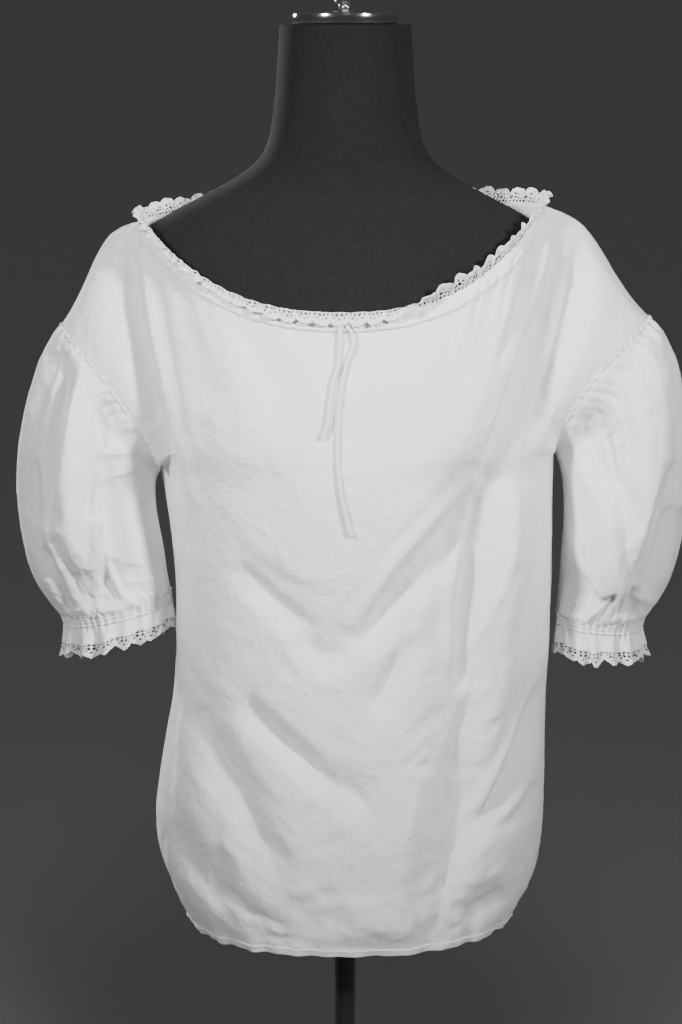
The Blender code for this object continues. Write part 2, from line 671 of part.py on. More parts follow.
def build_sleeve(side, table, folds):
    """A puff sleeve, gathered into the armhole and into the cuff's casing."""
    label = "left" if side > 0 else "right"
    columns = read_table(SLEEVE_COLUMNS, table)
    turns = [j / SLEEVE_COLUMN_COUNT for j in range(SLEEVE_COLUMN_COUNT)]
    rows = [[ring_point(columns, run, turn) for turn in turns] for run in SLEEVE_ROWS]
    rows[0] = [armhole_point(side, turn) for turn in turns]
    for j, point in enumerate(rows[0]):
        point += (rows[1][j] - point).normalized() * SLEEVE_SEAM_GAP

    def sleeve_axis(point):
        level = min(range(len(rows)), key=lambda i: (sum(rows[i], Vector()) / len(turns) - point).length)
        return sum(rows[level], Vector()) / len(turns)

    directions = normals(rows, True, sleeve_axis)
    puffed = []
    for i, run in enumerate(SLEEVE_ROWS):
        line = []
        for j, turn in enumerate(turns):
            free = BODY_SIDE_HOLD + (1 - BODY_SIDE_HOLD) * smooth(abs(turn - 0.5) / BODY_SIDE_TURN)
            hold = smooth(run / SLEEVE_TOP_HOLD) * smooth((1 - run) / SLEEVE_LOW_HOLD)
            depth = between(GATHER_DEPTH, run) * MM * gather(turn, j)
            depth += sleeve_fold_depth(folds, turn, run) * hold
            line.append(rows[i][j] + directions[i][j] * depth * free)
        puffed.append(line)
    out = normals(puffed, True, sleeve_axis)
    wall("sleeve_" + label, puffed, offset(puffed, out, -CLOTH_WALL), True,
         cotton("cotton sleeve " + label))


def ripple_ring(table, level, amount, count):
    """A ring of the cuff with the small waves of its gathers."""
    middle = (ring_point(table, level, 0) + ring_point(table, level, 0.5)) / 2
    ring = []
    for j in range(count):
        turn = j / count
        point = ring_point(table, level, turn)
        out = (point - middle).normalized()
        wave = math.cos(2 * math.pi * GATHER_COUNT * turn)
        ring.append(point - out * amount * wave * uneven(RIPPLE_UNEVEN, RIPPLE_UNEVEN_STEP, j))
    return ring


def build_cuff(side, table):
    """The cuff's casing, its frill and its edging in two halves."""
    label = "left" if side > 0 else "right"
    columns = read_table(SLEEVE_COLUMNS, table)
    down = Vector((0, 0, -1))
    count = SLEEVE_COLUMN_COUNT

    def cuff_axis(point):
        return (ring_point(columns, 0, 0) + ring_point(columns, 1, 0.5)) / 2

    casing = [ripple_ring(columns, CASING_TOP_LEVEL, CASING_RIPPLE, count),
              ripple_ring(columns, CASING_LOW_LEVEL, CASING_RIPPLE, count)]
    casing[0] = [point + down * CUFF_SEAM_GAP for point in casing[0]]
    out = normals(casing, True, cuff_axis)
    wall("cuff_casing_" + label, casing, offset(casing, out, -CLOTH_WALL), True,
         cotton("cotton cuff casing " + label))
    frill = [ripple_ring(columns, CASING_LOW_LEVEL, CASING_RIPPLE, count),
             ripple_ring(columns, FRILL_MIDDLE_LEVEL, FRILL_MIDDLE_RIPPLE, count),
             ripple_ring(columns, FRILL_LOW_LEVEL, FRILL_RIPPLE, count)]
    frill[0] = [point + down * FRILL_SEAM_GAP for point in frill[0]]
    out = normals(frill, True, cuff_axis)
    wall("cuff_frill_" + label, frill, offset(frill, out, -CLOTH_WALL), True,
         cotton("cotton cuff frill " + label))
    ring = frill[-1] + frill[-1][:1]
    ring_out = out[-1] + out[-1][:1]
    above = frill[-2] + frill[-2][:1]
    half = CUFF_SCALLOPS // 2
    for first, name in ((0, "front"), (half, "back")):
        units = range(first, first + half)
        places = [unit * count / CUFF_SCALLOPS for unit in units]
        places.append((first + half) * count / CUFF_SCALLOPS)
        leans = [0.0] * len(places)
        edging("cuff_lace_" + label + "_" + name, ring, ring_out, above, places, leans,
               CUFF_LACE_HEIGHT, CUFF_LACE_SEAM_GAP)


def edging(name, edge, edge_out, below, places, leans, height, gap, square_ends=False):
    """Scalloped edging along an edge of cloth, with a hole cut through each scallop.

    edge and below are the last two rows of the cloth, places the fractional indexes on them
    where one scallop ends and the next begins, and leans the edging's tilt there, in degrees.
    """
    points = []
    faces = []
    ups = []
    outs = []
    bases = []
    for i, (place, lean) in enumerate(zip(places, leans)):
        base = along(edge, place)
        up = (base - along(below, place)).normalized()
        if square_ends and i in (0, len(places) - 1):
            up = Vector((up.x, 0, up.z)).normalized()
        out = along(edge_out, place)
        out = (out - up * out.dot(up)).normalized()
        tilt = math.radians(lean)
        ups.append(up * math.cos(tilt) + out * math.sin(tilt))
        outs.append(out * math.cos(tilt) - up * math.sin(tilt))
        over = smooth(lean / LACE_LEAN_OVER)
        rise = gap + LACE_OVER_RISE * over
        bases.append(base + up * rise + out * 0.5 * CLOTH_WALL * (2 * over - 1))
    run = (bases[1] - bases[0]).normalized()
    bases[0] += run * SEAM_HALF
    run = (bases[-1] - bases[-2]).normalized()
    bases[-1] -= run * SEAM_HALF

    def at(i, share, rise, layer):
        """A point of scallop i: share along it, rise in its height, layer 0 outside and 1 inside."""
        base = bases[i].lerp(bases[i + 1], share)
        up = ups[i].lerp(ups[i + 1], share)
        out = outs[i].lerp(outs[i + 1], share)
        return base + up * height * rise + out * (0.5 - layer) * LACE_WALL

    count = len(places) - 1
    shared = []
    for i in range(count + 1):
        unit, share = (i, 0) if i < count else (count - 1, 1)
        shared.append(len(points))
        points += [at(unit, share, rise, layer) for layer in (0, 1) for rise in (0, LACE_VALLEY)]
    for i in range(count):
        pitch = (bases[i + 1] - bases[i]).length
        half = LACE_HOLE_HALF / pitch
        first = len(points)
        middle = 0.5 * (LACE_HOLE_LOW + LACE_HOLE_HIGH)
        shape = ((0.5 - half, middle), (0.5, LACE_HOLE_LOW), (0.5 + half, middle), (0.5, LACE_HOLE_HIGH),
                 (LACE_SHOULDER_AT, 1), (1 - LACE_SHOULDER_AT, 1))
        points += [at(i, share, rise, layer) for layer in (0, 1) for share, rise in shape]
        for layer in (0, 1):
            b0 = shared[i] + 2 * layer
            v0 = b0 + 1
            b1 = shared[i + 1] + 2 * layer
            v1 = b1 + 1
            left, low, right, high, a0, a1 = range(first + 6 * layer, first + 6 * layer + 6)
            faces += [(b0, low, left), (b0, b1, low), (b1, right, low), (b0, left, v0), (b1, v1, right)]
            faces += [(v0, left, high), (v1, high, right), (v0, high, a0), (high, a1, a0), (high, v1, a1)]
        b0 = shared[i]
        b1 = shared[i + 1]
        left, low, right, high, a0, a1 = range(first, first + 6)
        for start, end in ((left, low), (low, right), (right, high), (high, left), (a0, a1)):
            faces += [(start, end, end + 6), (start, end + 6, start + 6)]
        faces += [(b0, b1, b1 + 2), (b0, b1 + 2, b0 + 2)]
        faces += [(b0 + 1, a0, a0 + 6), (b0 + 1, a0 + 6, b0 + 3)]
        faces += [(a1, b1 + 1, b1 + 3), (a1, b1 + 3, a1 + 6)]
    for end in (shared[0], shared[-1]):
        faces += [(end, end + 1, end + 3), (end, end + 3, end + 2)]
    add_mesh(name, points, faces, crochet("crochet " + name.replace("_", " ")))


def build_neck_lace(face, rows, directions):
    """The edging along one half of the neckline."""
    first = SHOULDER_COLUMNS
    last = PANEL_COLUMNS - SHOULDER_COLUMNS
    edge = rows[-1][first:last + 1]
    below = rows[-2][first:last + 1]
    out = directions[-1][first:last + 1]
    count = NECK_FRONT_SCALLOPS if face < 0 else NECK_BACK_SCALLOPS
    lengths = [0.0]
    for a, b in zip(edge, edge[1:]):
        lengths.append(lengths[-1] + (b - a).length)
    pairs = list(zip(lengths, range(len(lengths))))
    places = [between(pairs, lengths[-1] * i / count) for i in range(count + 1)]
    leans = []
    for i in range(count + 1):
        along_neck = 2 * i / count - 1
        leans.append(between(LACE_LEAN, along_neck) if face < 0 else LACE_LEAN_BACK)
    label = "front" if face < 0 else "back"
    edging("neck_lace_" + label, edge, out, below, places, leans, LACE_HEIGHT, LACE_SEAM_GAP, True)


def build_string(name, route):
    """A free end of the drawstring along a smooth curve through its route."""
    knots = [Vector(point) * MM for point in route]
    fine = []
    for i in range(STRING_STEPS + 1):
        share = i / STRING_STEPS
        fine.append(Vector([spline([knot[axis] for knot in knots], share) for axis in range(3)]))
    chosen = [fine[0]]
    travelled = 0.0
    for a, b in zip(fine, fine[1:]):
        travelled += (b - a).length
        if travelled >= STRING_POINT_SPACING:
            chosen.append(b)
            travelled = 0.0
    chosen[-1] = fine[-1]
    data = bpy.data.curves.new(name, "CURVE")
    data.dimensions = "3D"
    data.bevel_depth = STRING_DIAMETER / 2
    data.bevel_resolution = STRING_BEVEL
    data.use_fill_caps = True
    line = data.splines.new("POLY")
    line.points.add(len(chosen) - 1)
    for slot, point in zip(line.points, chosen):
        slot.co = (*point, 1.0)
    data.materials.append(cotton("cotton " + name.replace("_", " ")))
    made = bpy.data.objects.new(name, data)
    bpy.context.collection.objects.link(made)


# The dress form

def build_torso():
    """A smooth limbless torso and neck, closed below and above."""
    table = read_table(FORM_COLUMNS, FORM_RINGS)
    count = FORM_COLUMN_COUNT
    points = []
    rows = len(table["z"])
    for i in range(rows):
        for j in range(count):
            angle = 2 * math.pi * j / count
            width, depth = rounded(angle, table["square"][i])
            x = table["half_width"][i] * width * (1 if math.sin(angle) > 0 else -1)
            front = math.cos(angle) > 0
            y = (table["y_front"][i] if front else table["y_back"][i]) * depth
            points.append(Vector((x, y, table["z"][i])) * MM)
    faces = []
    for i in range(rows - 1):
        for j in range(count):
            k = (j + 1) % count
            a, b, c, d = i * count + j, i * count + k, (i + 1) * count + k, (i + 1) * count + j
            faces += [(a, b, c), (a, c, d)]
    faces.append(tuple(range(count)))
    faces.append(tuple((rows - 1) * count + j for j in range(count)))
    add_mesh("form_torso", points, faces, material("black jersey", (0.012, 0.012, 0.013), 0.8))


def turned(name, profile, finish, sides=ROUND_SIDES):
    """A solid turned round the Z axis from its (radius, height) profile, top to bottom."""
    shape = bmesh.new()
    corners = [shape.verts.new((radius, 0, z)) for radius, z in profile]
    for a, b in zip(corners, corners[1:]):
        shape.edges.new((a, b))
    bmesh.ops.spin(shape, geom=shape.verts[:] + shape.edges[:], axis=(0, 0, 1), cent=(0, 0, 0),
                   angle=2 * math.pi, steps=sides, use_merge=True)
    bmesh.ops.remove_doubles(shape, verts=shape.verts, dist=0.01 * MM)
    bmesh.ops.recalc_face_normals(shape, faces=shape.faces)
    mesh = bpy.data.meshes.new(name)
    shape.to_mesh(mesh)
    shape.free()
    mesh.shade_smooth()
    mesh.set_sharp_from_angle(angle=STAND_EDGE_ANGLE)
    made = bpy.data.objects.new(name, mesh)
    made.data.materials.append(finish)
    bpy.context.collection.objects.link(made)


def build_stand():
    """The neck's cap and knob, the pole and the round base."""
    bright = material("chrome", (0.8, 0.8, 0.82), 0.15, 1.0)
    turned("form_neck_cap", ((0, CAP_TOP), (CAP_RADIUS - CAP_BEVEL, CAP_TOP),
                             (CAP_RADIUS, CAP_TOP - CAP_BEVEL), (CAP_RADIUS, CAP_BOTTOM),
                             (0, CAP_BOTTOM)), bright)
    knob = [(0, KNOB_TOP)]
    ball_middle = KNOB_TOP - KNOB_RADIUS
    for step in range(1, KNOB_BALL_STEPS - 1):
        angle = math.pi * step / KNOB_BALL_STEPS
        knob.append((KNOB_RADIUS * math.sin(angle), ball_middle + KNOB_RADIUS * math.cos(angle)))
    knob_foot = CAP_TOP + SEAM_GAP
    knob += [(KNOB_STEM_RADIUS, KNOB_STEM_TOP), (KNOB_STEM_RADIUS, knob_foot), (0, knob_foot)]
    turned("form_cap_knob", knob, material("chrome knob", (0.8, 0.8, 0.82), 0.15, 1.0), KNOB_SIDES)
    turned("form_pole", ((0, POLE_TOP), (POLE_RADIUS, POLE_TOP),
                         (POLE_RADIUS, POLE_BOTTOM), (0, POLE_BOTTOM)),
           material("dark steel pole", (0.05, 0.05, 0.055), 0.3, 1.0))
    turned("form_base", ((0, BASE_TOP), (BASE_BOSS_RADIUS, BASE_TOP),
                         (BASE_BOSS_RADIUS, BASE_DOME_TOP), (BASE_DOME_RADIUS, BASE_DOME_TOP),
                         (BASE_RADIUS - BASE_BEVEL_WIDTH, BASE_EDGE_TOP),
                         (BASE_RADIUS, BASE_EDGE_TOP - BASE_BEVEL_HEIGHT), (BASE_RADIUS, 0), (0, 0)),
           material("black steel base", (0.02, 0.02, 0.02), 0.4, 0.6))


def main():
    clear_scene()
    for face in (-1, 1):
        rows, directions = build_panel(face)
        build_neck_lace(face, rows, directions)
    build_sleeve(-1, SLEEVE_RIGHT, SLEEVE_RIGHT_FOLDS)
    build_sleeve(1, SLEEVE_LEFT, SLEEVE_LEFT_FOLDS)
    build_cuff(-1, CUFF_RIGHT)
    build_cuff(1, CUFF_LEFT)
    build_string("drawstring_long", STRING_LONG)
    build_string("drawstring_short", STRING_SHORT)
    build_torso()
    build_stand()


main()
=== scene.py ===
"""Looks of a cotton peasant blouse on a limbless dress form.

The cloth follows the rings, seams and folds of the part's solids, read more finely.
Tables are in millimetres and have their columns named above them. Meshes are in metres.
"""

import math
from collections import namedtuple
from functools import lru_cache

import bmesh
import bpy
import numpy as np
from bpy.props import FloatProperty, FloatVectorProperty, PointerProperty
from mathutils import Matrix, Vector, noise


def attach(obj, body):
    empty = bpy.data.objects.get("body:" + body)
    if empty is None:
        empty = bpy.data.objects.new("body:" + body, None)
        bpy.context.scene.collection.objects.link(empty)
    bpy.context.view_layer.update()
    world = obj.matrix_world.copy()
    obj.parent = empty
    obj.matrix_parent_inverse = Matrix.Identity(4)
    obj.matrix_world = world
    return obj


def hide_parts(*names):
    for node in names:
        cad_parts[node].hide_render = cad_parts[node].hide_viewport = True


bl_info = {
    "name": "Peasant blouse on a dress form",
    "version": (1, 0, 0),
    "blender": (4, 5, 0),
    "location": "View3D > Sidebar > Blouse",
    "description": "Builds the cloth, edging, drawstring, dress form and studio of a peasant blouse",
    "category": "Object",
}

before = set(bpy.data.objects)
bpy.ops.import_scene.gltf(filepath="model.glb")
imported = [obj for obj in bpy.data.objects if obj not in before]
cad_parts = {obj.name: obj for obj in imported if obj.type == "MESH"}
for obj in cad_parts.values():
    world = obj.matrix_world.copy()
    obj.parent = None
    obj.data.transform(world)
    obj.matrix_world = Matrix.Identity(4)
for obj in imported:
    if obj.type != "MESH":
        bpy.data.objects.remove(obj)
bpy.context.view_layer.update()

MM = 0.001
TAU = 2 * math.pi

# How many fine steps stand for one of the solids' rows and columns
ROW_STEPS = 9
COLUMN_STEPS = 6
SLEEVE_ROW_STEPS = 11
SLEEVE_COLUMN_STEPS = 7

# Seams, in millimetres
SEAM_HALF = 0.15
BAND_LIFT = 1.3
SLEEVE_TUCK = 1.0
SEAM_BEAD = 1.35
SEAM_BEAD_POINTS = 360

# Grid of each panel
PANEL_COLUMNS = 36
SHOULDER_COLUMNS = 6
NECK_FIRST = SHOULDER_COLUMNS * COLUMN_STEPS
NECK_LAST = (PANEL_COLUMNS - SHOULDER_COLUMNS) * COLUMN_STEPS
SKIRT_ROWS = 12
HEM_DEPTH_SHARE = 0.038
YOKE_ROWS = 8
YOKE_MIDDLE_ROWS = (0, 0.14, 0.28, 0.42, 0.56, 0.68, 0.79, 0.90, 1.0)

# The body below the underarm: z at the right side, middle and left side, x at both sides,
# y at front and back, squareness
BODY_RINGS = {
    "hem": (708, 707, 724, -148, 164, -116, 104, 2.3),
    "hem turn": (748, 746, 756, -169, 183, -122, 110, 2.3),
    "hip": (805, 805, 808, -183, 191, -125, 114, 2.25),
    "low waist": (870, 870, 872, -176, 192, -124, 112, 2.2),
    "waist": (940, 940, 944, -164, 193, -122, 108, 2.2),
    "rib": (1028, 1028, 1034, -161, 196, -123, 104, 2.15),
    "under bust": (1098, 1098, 1108, -166, 196, -127, 105, 2.1),
    "underarm": (1150, 1156, 1166, -174, 196, -129, 107, 2.05),
}
NECK_CORNER_RIGHT = (-186, 0, 1382)
NECK_CORNER_LEFT = (182, 0, 1396)
NECK_FRONT_MIDDLE = (0, -97, 1304)
NECK_BACK_MIDDLE = (0, 82, 1393)
NECK_SCOOP = 2.6
NECK_ROUND = 0.9
SHOULDER_RIGHT = ((-186, 1382), (-207, 1376), (-224, 1362), (-238, 1334), (-252, 1306), (-265, 1285))
SHOULDER_LEFT = ((182, 1396), (206, 1387), (226, 1372), (244, 1344), (264, 1314), (284, 1292))
ARMHOLE_REACH = 50
ARMHOLE_INSET_RIGHT = 13
ARMHOLE_INSET_LEFT = -20
YOKE_SWELL_MIDDLE = 5
YOKE_SWELL_CORNER = 24
YOKE_SWELL_FULL_AT = 0.7
YOKE_SWELL_ROUND = 0.65
EDGE_HOLD_FROM = 0.45
YOKE_SOFTENING = 3
AXIS_DROP = 20

# The large folds that the solids have too: a bent line in front view, its half width and its depth
# in millimetres. Lean moves a fold's steep side: above 0 it is on the side of lower x, on a line
# drawn from top to bottom.
Fold = namedtuple("Fold", ("x0", "z0", "x1", "z1", "x2", "z2", "half_width", "depth", "lean"),
                  defaults=(0,))
FOLD_LINE_STEPS = 14
FRONT_FOLDS = {
    "right shoulder drape": (-202, 1362, -186, 1290, -164, 1165, 15, -9),
    "right chest drape": (-150, 1350, -146, 1290, -118, 1225, 17, -8),
    "right soft drape": (-86, 1290, -74, 1264, -55, 1225, 17, -4),
    "left long trough": (180, 1362, 170, 1275, 128, 1172, 15, -15),
    "left shoulder ridge": (192, 1362, 184, 1280, 146, 1196, 12, 8),
    "left outer trough": (209, 1356, 195, 1275, 160, 1195, 13, -12),
    "left neck drape": (140, 1340, 128, 1290, 92, 1235, 18, -4),
    "bust drag right": (-104, 1086, -66, 1056, -26, 1022, 15, -6),
    "bust drag middle": (-42, 1020, -20, 998, 6, 1020, 14, -6),
    "bust drag left": (4, 1004, 58, 1070, 126, 1152, 20, -10),
    "left side trough": (128, 1170, 109, 1060, 108, 955, 24, -14),
    "left side ridge": (156, 1152, 154, 1082, 122, 992, 20, 9),
    "left low trough": (107, 960, 101, 850, 82, 744, 20, -12),
    "left side crease": (178, 950, 152, 880, 104, 800, 16, -9),
    "middle crease": (22, 942, 40, 975, 64, 1017, 14, -6),
    "low diagonal": (-94, 955, -42, 908, 22, 852, 15, -9),
    "low right crease": (-136, 940, -94, 850, -62, 780, 18, -9),
    "hem tuck left": (150, 760, 128, 748, 110, 733, 14, -6),
    "hem swell": (-6, 752, 32, 742, 66, 738, 18, 6),
    "right hem crease": (-160, 822, -134, 790, -96, 752, 15, -6),
}
BACK_FOLDS = {
    "left shoulder drape": (204, 1360, 186, 1280, 166, 1170, 16, -10),
    "left blade drape": (148, 1350, 138, 1280, 104, 1190, 18, -7),
    "right shoulder drape": (-200, 1356, -188, 1280, -160, 1180, 16, -8),
    "right blade drape": (-132, 1352, -122, 1270, -98, 1180, 19, -7),
    "middle back drape": (20, 1350, 12, 1240, -8, 1120, 22, -6),
    "left side trough": (136, 1150, 122, 1040, 116, 900, 24, -11),
    "left side ridge": (160, 1140, 154, 1030, 148, 880, 20, 7),
    "right side trough": (-124, 1130, -112, 1010, -118, 880, 24, -11),
    "waist drag right": (-90, 1060, -40, 1015, 16, 990, 18, -7),
    "waist drag left": (22, 1000, 70, 1040, 118, 1104, 18, -7),
    "low middle trough": (6, 950, -6, 850, 4, 744, 24, -8),
    "low left trough": (96, 890, 86, 820, 92, 740, 19, -8),
    "low right trough": (-92, 900, -104, 820, -90, 744, 20, -8),
    "low right crease": (-160, 870, -130, 820, -112, 772, 16, -6),
}
FOLD_END_SHARE = 0.25
SIDE_HOLD_COLUMNS = 4
TOP_HOLD_ROWS = 2

# Sharper creases that lie in and between the large folds, with the same columns and a lean
FRONT_CREASES = {
    "right shoulder drape": (-205, 1372, -188, 1276, -152, 1126, 15, -15.0, -0.6),
    "right shoulder crest": (-190, 1360, -172, 1266, -136, 1126, 12, 6.0, -0.5),
    "right second drape": (-194, 1362, -192, 1340, -186, 1316, 5, -2.6, -0.4),
    "right neck crease": (-132, 1330, -122, 1300, -108, 1270, 8, -2.0, 0.3),
    "right neck second": (-102, 1300, -84, 1274, -66, 1248, 9, -2.2, 0.3),
    "left trough": (200, 1376, 180, 1296, 132, 1166, 14, -16.5, 0.62),
    "left trough crest": (188, 1366, 166, 1290, 118, 1172, 11, 5.5, 0.3),
    "left outer trough": (220, 1372, 207, 1300, 178, 1196, 11, -10.0, 0.5),
    "left outer crest": (206, 1366, 193, 1296, 158, 1196, 7, 3.5, 0.2),
    "left neck crease": (176, 1340, 158, 1306, 138, 1258, 8, -4.6, 0.4),
    "left small": (199, 1216, 195, 1200, 189, 1186, 4, -3.0, 0.4),
    "left side shade": (137, 1172, 114, 1060, 107, 955, 14, -11.0, 0.62),
    "left side crest": (126, 1160, 102, 1060, 96, 966, 10, 3.6, 0.3),
    "left side highlight": (157, 1160, 147, 1074, 115, 980, 6, 3.6, -0.3),
    "left side second": (146, 1120, 136, 1060, 112, 1000, 6, -2.4),
    "left side third": (176, 1150, 172, 1070, 160, 990, 8, -2.6, 0.3),
    "left low shade": (124, 962, 101, 892, 96, 830, 12, -4.2, 0.5),
    "left low second": (119, 890, 108, 812, 82, 718, 13, -5.6, 0.4),
    "left low ridge": (136, 890, 124, 812, 98, 730, 9, 3.2),
    "bust drag left": (124, 1147, 62, 1080, 12, 1004, 10, -7.5, 0.5),
    "bust drag left crest": (112, 1152, 50, 1090, 2, 1018, 9, 3.0, 0.3),
    "bust drag left low": (56, 1016, 40, 978, 24, 940, 9, -3.6, 0.5),
    "bust drag ridge": (110, 1150, 56, 1092, 0, 1022, 8, 2.6),
    "bust drag outer": (132, 1132, 98, 1090, 70, 1050, 7, -2.4, 0.3),
    "bust drag right": (-100, 1078, -60, 1044, -24, 1020, 8, -5.0, -0.5),
    "bust drag middle": (-42, 1015, -20, 996, 2, 1000, 7, -4.0, -0.4),
    "bust drag upper": (-70, 1074, -44, 1062, -10, 1052, 6, -1.6),
    "low diagonal": (-93, 950, -53, 914, -4, 868, 8, -5.6, -0.5),
    "low diagonal crest": (-84, 958, -44, 924, 2, 882, 8, 2.6, -0.3),
    "low diagonal end": (2, 875, 12, 864, 22, 851, 5, -2.8, -0.3),
    "low diagonal ridge": (-84, 962, -42, 928, 6, 884, 8, 2.4),
    "low right crease": (-140, 938, -104, 868, -64, 798, 9, -4.2, -0.4),
    "low right second": (-120, 926, -82, 868, -52, 818, 9, -2.2, -0.3),
    "low right ridge": (-122, 944, -84, 874, -48, 806, 8, 2.2),
    "left waist crease": (187, 951, 158, 882, 126, 826, 9, -6.5, 0.55),
    "left waist crest": (176, 950, 147, 884, 114, 828, 7, 2.6, 0.2),
    "left waist ridge": (176, 950, 146, 880, 112, 822, 6, 2.4),
    "left short crease": (182, 855, 164, 834, 143, 820, 6, -3.6, 0.4),
    "hip edge crease": (-158, 950, -166, 900, -170, 826, 8, -4.0, -0.4),
    "right hem crease": (-176, 840, -150, 784, -104, 734, 9, -3.4, 0.4),
    "left hem crease": (152, 760, 128, 744, 112, 733, 7, -3.4, 0.3),
    "hem swell": (2, 744, 37, 737, 63, 731, 7, 2.4),
    "hem middle crease": (-60, 760, -16, 746, 30, 744, 8, -2.4),
    "hem long crease": (-120, 762, -80, 742, -20, 732, 8, -2.4, 0.3),
    "right side soft": (-158, 1070, -138, 1020, -120, 960, 10, -2.0),
    "right waist soft": (-160, 990, -140, 960, -104, 930, 8, -2.0),
    "chest soft left": (60, 1240, 52, 1190, 64, 1130, 18, -2.0),
    "chest soft right": (-60, 1190, -72, 1140, -66, 1090, 18, -1.8),
    "low middle soft": (-20, 860, -14, 800, -24, 740, 14, -2.4),
    "low middle ridge": (44, 880, 52, 810, 44, 742, 14, 2.4),
    "right low soft": (-128, 850, -116, 800, -120, 748, 9, -2.4),
}
BACK_CREASES = {
    "left shoulder drape": (205, 1368, 190, 1284, 166, 1150, 15, -8.0, 0.7),
    "left shoulder ridge": (194, 1366, 178, 1284, 152, 1170, 8, 3.0),
    "left blade drape": (149, 1356, 138, 1280, 100, 1180, 12, -5.0, 0.6),
    "left blade second": (112, 1350, 104, 1292, 84, 1230, 10, -3.0, 0.4),
    "right shoulder drape": (-200, 1366, -188, 1280, -158, 1140, 15, -7.5, -0.7),
    "right shoulder ridge": (-190, 1362, -176, 1280, -144, 1176, 8, 3.0),
    "right blade drape": (-133, 1356, -122, 1270, -98, 1170, 12, -5.0, -0.6),
    "middle back drape": (20, 1352, 12, 1240, -10, 1112, 12, -4.0, 0.3),
    "middle back ridge": (38, 1340, 32, 1240, 14, 1120, 11, 2.4),
    "left side shade": (134, 1150, 122, 1040, 114, 890, 15, -6.0, 0.6),
    "left side highlight": (152, 1140, 148, 1030, 138, 880, 8, 3.2),
    "right side shade": (-124, 1130, -112, 1010, -116, 870, 15, -6.0, -0.6),
    "right side highlight": (-142, 1124, -134, 1010, -136, 874, 8, 3.2),
    "waist drag right": (-94, 1064, -40, 1013, 20, 989, 9, -4.6, 0.5),
    "waist drag ridge": (-84, 1078, -34, 1030, 26, 1002, 8, 2.4),
    "waist drag left": (124, 1110, 72, 1038, 20, 998, 9, -4.6, 0.5),
    "waist drag second": (130, 1072, 84, 1018, 40, 984, 8, -3.0, 0.4),
    "low middle shade": (8, 950, -4, 850, 6, 744, 12, -4.2, 0.4),
    "low middle ridge": (28, 930, 16, 840, 28, 748, 10, 2.6),
    "low left shade": (96, 900, 86, 820, 92, 730, 11, -4.4, -0.4),
    "low right shade": (-92, 910, -104, 820, -88, 730, 11, -4.4, 0.4),
    "low right ridge": (-72, 894, -84, 820, -70, 744, 9, 2.4),
    "low right crease": (-160, 880, -130, 820, -108, 770, 8, -3.4, -0.3),
    "left waist crease": (174, 936, 148, 880, 120, 816, 8, -3.6, 0.4),
    "low diagonal": (74, 950, 40, 910, -34, 868, 8, -3.4, 0.4),
    "hem crease": (-60, 762, -10, 744, 60, 740, 8, -2.4),
}
CREASE_END_SHARE = 0.05
CREASE_SHARPNESS = 1.35
CREASE_FULLNESS = 0.7
CREASE_SCALE = 1.3
SLEEVE_CREASE_SCALE = 1.95

# Small wrinkles: the region's x and z range, the wrinkles' slope in degrees, and how many
WRINKLE_COLUMNS = ("x_low", "x_high", "z_low", "z_high", "slope_low", "slope_high", "count")
FRONT_WRINKLES = {
    "right hip": (-168, -70, 740, 900, -64, -20, 26),
    "left hip": (60, 176, 740, 930, 20, 75, 30),
    "hem": (-120, 140, 718, 780, -30, 30, 26),
    "waist": (-120, 60, 900, 1040, -50, -8, 15),
    "left waist": (20, 160, 930, 1080, 25, 70, 18),
    "chest": (-140, 130, 1090, 1240, 60, 120, 9),
    "middle": (-90, 90, 800, 930, -70, 60, 14),
}
BACK_WRINKLES = {
    "right hip": (-168, -60, 750, 920, -75, -25, 16),
    "left hip": (60, 176, 750, 920, 25, 75, 16),
    "hem": (-120, 140, 722, 780, -30, 30, 12),
    "waist": (-120, 130, 920, 1060, -45, 45, 18),
    "blades": (-150, 150, 1120, 1300, 60, 120, 14),
}

# The sleeves: their outer and inner edges in front view, and their reach to front and back
SLEEVE_COLUMNS = ("x_outer", "z_outer", "x_inner", "z_inner", "y_front", "y_back")
SLEEVE_RIGHT = {
    "armhole": (-265, 1285, -174, 1150, -50, 50),
    "cap": (-281, 1262, -179, 1138, -62, 60),
    "upper puff": (-296, 1221, -180, 1122, -71, 68),
    "full puff": (-308, 1168, -178, 1103, -77, 73),
    "middle puff": (-310, 1118, -175, 1084, -78, 74),
    "lower puff": (-305, 1076, -172, 1066, -73, 70),
    "turn": (-294, 1040, -170, 1049, -62, 60),
    "casing": (-271, 1009, -167, 1032, -47, 47),
}
SLEEVE_LEFT = {
    "armhole": (284, 1292, 196, 1166, -50, 50),
    "cap": (301, 1271, 203, 1150, -62, 60),
    "upper puff": (314, 1236, 206, 1130, -71, 68),
    "full puff": (321, 1184, 207, 1106, -77, 73),
    "middle puff": (322, 1128, 206, 1082, -79, 75),
    "lower puff": (318, 1078, 205, 1060, -75, 71),
    "turn": (307, 1038, 204, 1036, -64, 61),
    "casing": (285, 1006, 202, 1011, -46, 46),
}
SLEEVE_COLUMN_COUNT = 32
SLEEVE_ROWS = (0, 0.05, 0.13, 0.23, 0.34, 0.46, 0.58, 0.69, 0.79, 0.88, 0.95, 1.0)

